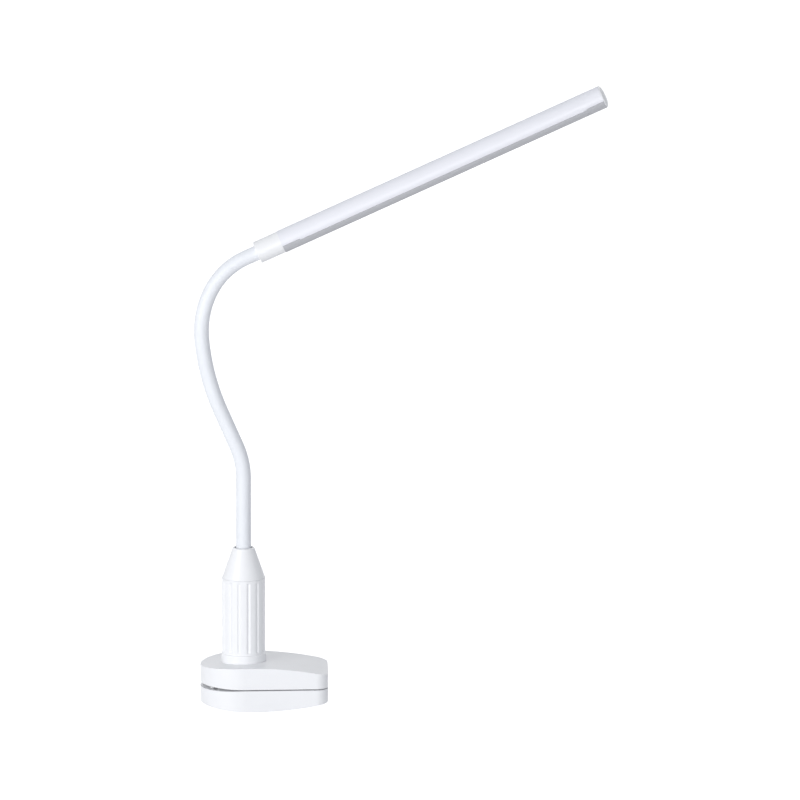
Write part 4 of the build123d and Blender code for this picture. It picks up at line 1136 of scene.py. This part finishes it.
def housing(bar):
    """Round housing, open towards the diffuser, with the web that carries the light strip."""
    bm = bmesh.new()
    outer, inner = bar.bar_radius, bar.bar_radius - bar.bar_wall
    web = [acos(bar.web_far / inner), acos(bar.web_near / inner)]
    stops = [bar.diffuser_angle] + web
    stops += [2 * pi - stop for stop in reversed(stops)]
    across = Vector((cos(stops[0]), sin(stops[0]), 0))
    ends = [bm.verts.new(across * inner), bm.verts.new(across * outer)]
    line = ends + [bm.edges.new(ends)]
    for near, far in zip(stops, stops[1:]):
        steps = ceil(ROUND_STEPS * (far - near) / (2 * pi))
        line = spin(bm, line, far - near, steps)
    web_points = [
        v for v in bm.verts
        if abs(from_axis(v.co) - inner) < NEAR and bar.web_near - NEAR < v.co.x < bar.web_far + NEAR
    ]
    back_side = sorted([v for v in web_points if v.co.y > 0], key=lambda v: -v.co.x)
    front_side = sorted([v for v in web_points if v.co.y < 0], key=lambda v: v.co.x)
    bm.faces.new(back_side + front_side)
    raise_faces(bm, bm.faces[:], bar.bar_length)
    close_up(bm)
    notches = []
    for start in (-bar.bar_wall, bar.bar_length - bar.block_length):
        notch = ring_sector(
            inner - bar.diffuser_fit, outer + bar.bar_wall, bar.block_angle, bar.block_length + bar.bar_wall
        )
        move(notch, Matrix.Translation((0, 0, start)))
        notches.append(notch)
    bm = carve(bm, join(*notches))
    close_up(bm)
    return bm


def soften_outside(bm, bar):
    """Round the sharp edges on the outside of a piece of the bar."""
    soften(bm, creases(bm, lambda p: abs(from_axis(p) - bar.bar_radius) < NEAR), bar.bar_edge, 2)


def end_cap(bar):
    """Domed cap with a full shoulder and a fine groove where it meets the housing."""
    power = 2 / bar.cap_fullness
    seam = (bar.bar_radius, 0.0)
    line = [(0, 0), seam]
    for slope in [pi / 2 * step / DOME_STEPS for step in range(1, DOME_STEPS)]:
        line.append((bar.bar_radius * cos(slope) ** power, bar.cap_length * sin(slope) ** power))
    line.append((0, bar.cap_length))
    return turned(line, [(seam, bar.cap_groove)])


class LAMP_OT_light_bar(bpy.types.Operator):
    """Model the collar, housing, diffuser, end blocks and end cap of the light bar"""

    bl_idname = "lamp.light_bar"
    bl_label = "Light bar"

    def execute(self, context):
        bar = context.scene.lamp_bar
        radius, collar_end = bar.bar_radius, bar.collar_length
        mouth, seam = (bar.collar_radius, 0.0), (bar.collar_radius, collar_end)
        collar = turned(
            [
                (bar.collar_bore, 0.0), mouth, seam, (bar.lead_bore, collar_end),
                (bar.lead_bore, bar.collar_bore_depth), (bar.collar_bore, bar.collar_bore_depth),
            ],
            [(mouth, bar.collar_edge), (seam, bar.bar_edge)],
        )
        move(collar, bar_place(context, 0.0))
        stand_in("bar_collar", collar, "shell_white", "head", "head_collar", "collar_white")

        finish("bar_white", Turn=(0.0, bar_heading(context.scene.lamp_neck), 0.0))
        tube = housing(bar)
        soften_outside(tube, bar)
        move(tube, bar_place(context, collar_end))
        stand_in("bar_housing", tube, "bar_white", "head", "head_housing")

        fit = bar.diffuser_fit / radius
        strip_length = bar.bar_length - 2 * bar.block_length
        # The diffuser and the end blocks take a grey that holds painted shade as well as the frost's own
        # colour
        strip = ring_sector(radius - bar.diffuser_wall, radius, bar.diffuser_angle - fit, strip_length)
        soften_outside(strip, bar)
        move(strip, bar_place(context, collar_end + bar.block_length))
        stand_in("bar_diffuser", strip, "diffuser_frost", "head", "head_diffuser")

        ends = []
        for along in (collar_end, collar_end + bar.bar_length - bar.block_length):
            end = ring_sector(radius - bar.bar_wall, radius, bar.block_angle - fit, bar.block_length)
            soften_outside(end, bar)
            move(end, bar_place(context, along))
            ends.append(end)
        stand_in("bar_end_blocks", join(*ends), "diffuser_frost", "head", "diffuser_end_blocks")

        cap = end_cap(bar)
        move(cap, bar_place(context, collar_end + bar.bar_length))
        stand_in("bar_end_cap", cap, "bar_white", "head", "end_cap", "collar_white")
        dress("led_core", "led_board")
        dress("led_yellow", "led_chips")
        return {"FINISHED"}


# Controls, cell and boards
def block(size_x, size_y, size_z):
    """Plain block about the origin."""
    bm = bmesh.new()
    bmesh.ops.create_cube(bm, size=1.0)
    bmesh.ops.scale(bm, vec=(size_x, size_y, size_z), verts=bm.verts)
    return bm


def power_button(controls):
    """Round button with a flange behind the wall and a shallow dish in its face."""
    reach = BUTTON_HIGH.y - BUTTON_LOW.y
    flange, stem = (BUTTON_HIGH.x - BUTTON_LOW.x) / 2, controls.button_radius
    brim, dish_rim = (stem, reach), (stem * 0.7, reach)
    dish_side = (stem * 0.35, reach - 0.75 * controls.button_dish)
    bm = turned(
        [
            (0, 0), (flange, 0), (flange, controls.button_flange), (stem, controls.button_flange), brim,
            dish_rim, dish_side, (0, reach - controls.button_dish),
        ],
        [(brim, controls.button_edge)], BUTTON_STEPS,
    )
    middle = box_middle(BUTTON_LOW, BUTTON_HIGH)
    move(bm, Matrix.Translation((middle.x, BUTTON_LOW.y, middle.z)) @ Matrix.Rotation(-pi / 2, 4, "X"))
    return bm


def charging_socket(controls):
    """Metal shell of the charging socket, with its tongue as a second material."""
    size = SOCKET_HIGH - SOCKET_LOW
    skin, depth = controls.socket_skin, controls.socket_depth
    opening = stadium(size.x - 2 * skin, size.z - 2 * skin, depth + skin)
    move(opening, Matrix.Translation((0, 0, -skin)))
    shell = carve(stadium(size.x, size.z, size.y), opening)
    tongue = block(controls.tongue_width, controls.tongue_thickness, depth - controls.tongue_set_back)
    soften(tongue, tongue.edges[:], controls.tongue_edge, 2)
    move(tongue, Matrix.Translation((0, 0, (depth + controls.tongue_set_back) / 2)))
    for face in tongue.faces:
        face.material_index = 1
    whole = join(shell, tongue)
    middle = box_middle(SOCKET_LOW, SOCKET_HIGH)
    move(whole, back_place(middle.x, SOCKET_HIGH.y, middle.z))
    return whole


class LAMP_OT_controls(bpy.types.Operator):
    """Model the button and the charging socket, and finish the cell, its contacts and the board"""

    bl_idname = "lamp.controls"
    bl_label = "Controls and cell"

    def execute(self, context):
        controls = context.scene.lamp_controls
        stand_in("push_button", power_button(controls), "shell_white", "button", "power_button")
        socket = charging_socket(controls)
        stand_in(
            "charging_inlet", socket, "socket_metal", "clip_and_post", "charging_socket",
            "socket_metal", "switch_black",
        )
        dress("cell_wrap", "battery_cell")
        dress("contact_metal", "cell_contact_lower", "cell_contact_upper")
        dress("board_green", "control_board")
        dress("switch_black", "push_switch")
        return {"FINISHED"}


# Screws
def jaw_screw(clip):
    """Countersunk screw with a cross recess, its head's face at Z 0 and its shank along Z."""
    head, shank, length_z = clip.screw_head_radius, clip.screw_radius, clip.screw_length
    line = [(0, 0), (head, 0), (shank, head - shank), (shank, length_z), (0, length_z)]
    screw = turned(line, steps=SCREW_STEPS)
    screw = carve(screw, block(clip.drive_length, clip.drive_width, 2 * clip.drive_depth))
    return carve(screw, block(clip.drive_width, clip.drive_length, 2 * clip.drive_depth))


def jaw_screws(clip):
    """The four screws of the upper jaw."""
    screws = []
    for x in (clip.screw_rear, clip.mouth_reach - clip.screw_from_mouth):
        y = side_y(clip, x) - clip.screw_from_side
        for side in (-1, 1):
            screw = jaw_screw(clip)
            move(screw, Matrix.Translation((x, side * y, clip.jaw_face + clip.screw_recess)))
            screws.append(screw)
    return join(*screws)


class LAMP_OT_screws(bpy.types.Operator):
    """Model the jaw screws and finish the screws of the post and the board"""

    bl_idname = "lamp.screws"
    bl_label = "Screws"

    def execute(self, context):
        on_both_jaws(jaw_screws, context.scene.lamp_clip, "screws", "screw_steel", "jaw_screws")
        dress("screw_steel", "post_screws", "board_screws")
        return {"FINISHED"}


# Floor, light and camera
def seen_share(tree):
    """One for the rays that show the background: from the camera, off metal and through glass."""
    path = tree.nodes.new("ShaderNodeLightPath").outputs
    mirrored = number_node(tree, "MAXIMUM", path["Is Glossy Ray"], path["Is Transmission Ray"])
    return number_node(tree, "MAXIMUM", path["Is Camera Ray"], mirrored)


def floor_white(stage):
    """Pale floor, lit up to white where the camera sees it."""
    made = bpy.data.materials.new("floor_white")
    made.use_nodes = True
    tree = made.node_tree
    shader = tree.nodes["Principled BSDF"]
    shader.inputs["Base Color"].default_value = (*stage.floor_colour, 1.0)
    shader.inputs["Roughness"].default_value = 0.9
    shader.inputs["Specular IOR Level"].default_value = 0.0
    shader.inputs["Emission Color"].default_value = (1.0, 1.0, 1.0, 1.0)
    glow = number_node(tree, "MULTIPLY", seen_share(tree), stage.floor_glow)
    tree.links.new(glow, shader.inputs["Emission Strength"])
    return made


def studio_world(stage):
    """Even light from all round, white where the background is seen."""
    world = bpy.data.worlds.new("studio")
    world.use_nodes = True
    tree = world.node_tree
    ambient = tree.nodes["Background"]
    ambient.inputs["Color"].default_value = (*stage.ambient, 1.0)
    ambient.inputs["Strength"].default_value = stage.ambient_level
    white = tree.nodes.new("ShaderNodeBackground")
    white.inputs["Color"].default_value = (1.0, 1.0, 1.0, 1.0)
    both = tree.nodes.new("ShaderNodeMixShader")
    tree.links.new(seen_share(tree), both.inputs["Fac"])
    tree.links.new(ambient.outputs[0], both.inputs[1])
    tree.links.new(white.outputs[0], both.inputs[2])
    tree.links.new(both.outputs[0], tree.nodes["World Output"].inputs["Surface"])
    return world


def away(azimuth, elevation):
    """Direction from the lamp, turned to the left of the photo's view and raised."""
    return Vector((-sin(azimuth) * cos(elevation), -cos(azimuth) * cos(elevation), sin(elevation)))


def look_at(made, place, target):
    """Put a camera or a lamp in place, facing a target."""
    made.location = place
    made.rotation_euler = (target - place).to_track_quat("-Z", "Y").to_euler()
    bpy.context.scene.collection.objects.link(made)


def soft_lamp(name, power, size, place, target):
    """Square lamp that faces a target."""
    light = bpy.data.lights.new(name, "AREA")
    light.shape = "SQUARE"
    light.size = size
    light.energy = power
    look_at(bpy.data.objects.new(name, light), place, target)


class LAMP_OT_stage(bpy.types.Operator):
    """Set the floor, the light and the camera"""

    bl_idname = "lamp.stage"
    bl_label = "Stage"

    def execute(self, context):
        scene, stage = context.scene, context.scene.lamp_stage
        scene.view_settings.view_transform = "Standard"
        scene.world = studio_world(stage)
        bm = bmesh.new()
        bmesh.ops.create_grid(
            bm, x_segments=1, y_segments=1, size=stage.floor_size / 2,
            matrix=Matrix.Translation((0, 0, CAD_BOX[0][2] - stage.floor_drop)),
        )
        floor = loose_object("floor", bm)
        floor.data.materials.append(floor_white(stage))
        target = Vector((stage.aim_x, 0, stage.aim_z))
        for name in ("key", "front", "back"):
            power, size = getattr(stage, f"{name}_power"), getattr(stage, f"{name}_size")
            turn, rise = getattr(stage, f"{name}_azimuth"), getattr(stage, f"{name}_elevation")
            soft_lamp(name, power, size, target + stage.lamp_distance * away(turn, rise), target)
        camera = bpy.data.cameras.new("camera")
        camera.sensor_width = 36.0
        camera.lens = stage.lens
        camera.dof.use_dof = False
        view = bpy.data.objects.new("camera", camera)
        distance = stage.frame_width * stage.lens / camera.sensor_width
        look_at(view, target + distance * away(stage.azimuth, stage.elevation), target)
        scene.camera = view
        return {"FINISHED"}


STEPS = (
    LAMP_OT_clip_jaws, LAMP_OT_grip_faces, LAMP_OT_clip_hinge, LAMP_OT_post, LAMP_OT_neck,
    LAMP_OT_light_bar, LAMP_OT_controls, LAMP_OT_screws, LAMP_OT_stage,
)


class LAMP_PT_pieces(bpy.types.Panel):
    """Steps that make the lamp, in order"""

    bl_idname = "LAMP_PT_pieces"
    bl_label = "Reading lamp"
    bl_space_type = "VIEW_3D"
    bl_region_type = "UI"
    bl_category = "Lamp"

    def draw(self, context):
        for step in STEPS:
            self.layout.operator(step.bl_idname)


SETTINGS = {
    "lamp_clip": ClipSizes,
    "lamp_controls": ControlSizes,
    "lamp_post": PostSizes,
    "lamp_neck": NeckSizes,
    "lamp_bar": BarSizes,
    "lamp_finishes": Finishes,
    "lamp_stage": StageSettings,
}
CLASSES = (*SETTINGS.values(), *STEPS, LAMP_PT_pieces)


def register():
    for cls in CLASSES:
        bpy.utils.register_class(cls)
    for name, group in SETTINGS.items():
        setattr(bpy.types.Scene, name, bpy.props.PointerProperty(type=group))


def unregister():
    for name in SETTINGS:
        delattr(bpy.types.Scene, name)
    for cls in reversed(CLASSES):
        bpy.utils.unregister_class(cls)


def main():
    register()
    bpy.ops.lamp.clip_jaws()
    bpy.ops.lamp.grip_faces()
    bpy.ops.lamp.clip_hinge()
    bpy.ops.lamp.post()
    bpy.ops.lamp.neck()
    bpy.ops.lamp.light_bar()
    bpy.ops.lamp.controls()
    bpy.ops.lamp.screws()
    bpy.ops.lamp.stage()


if __name__ == "__main__":
    main()
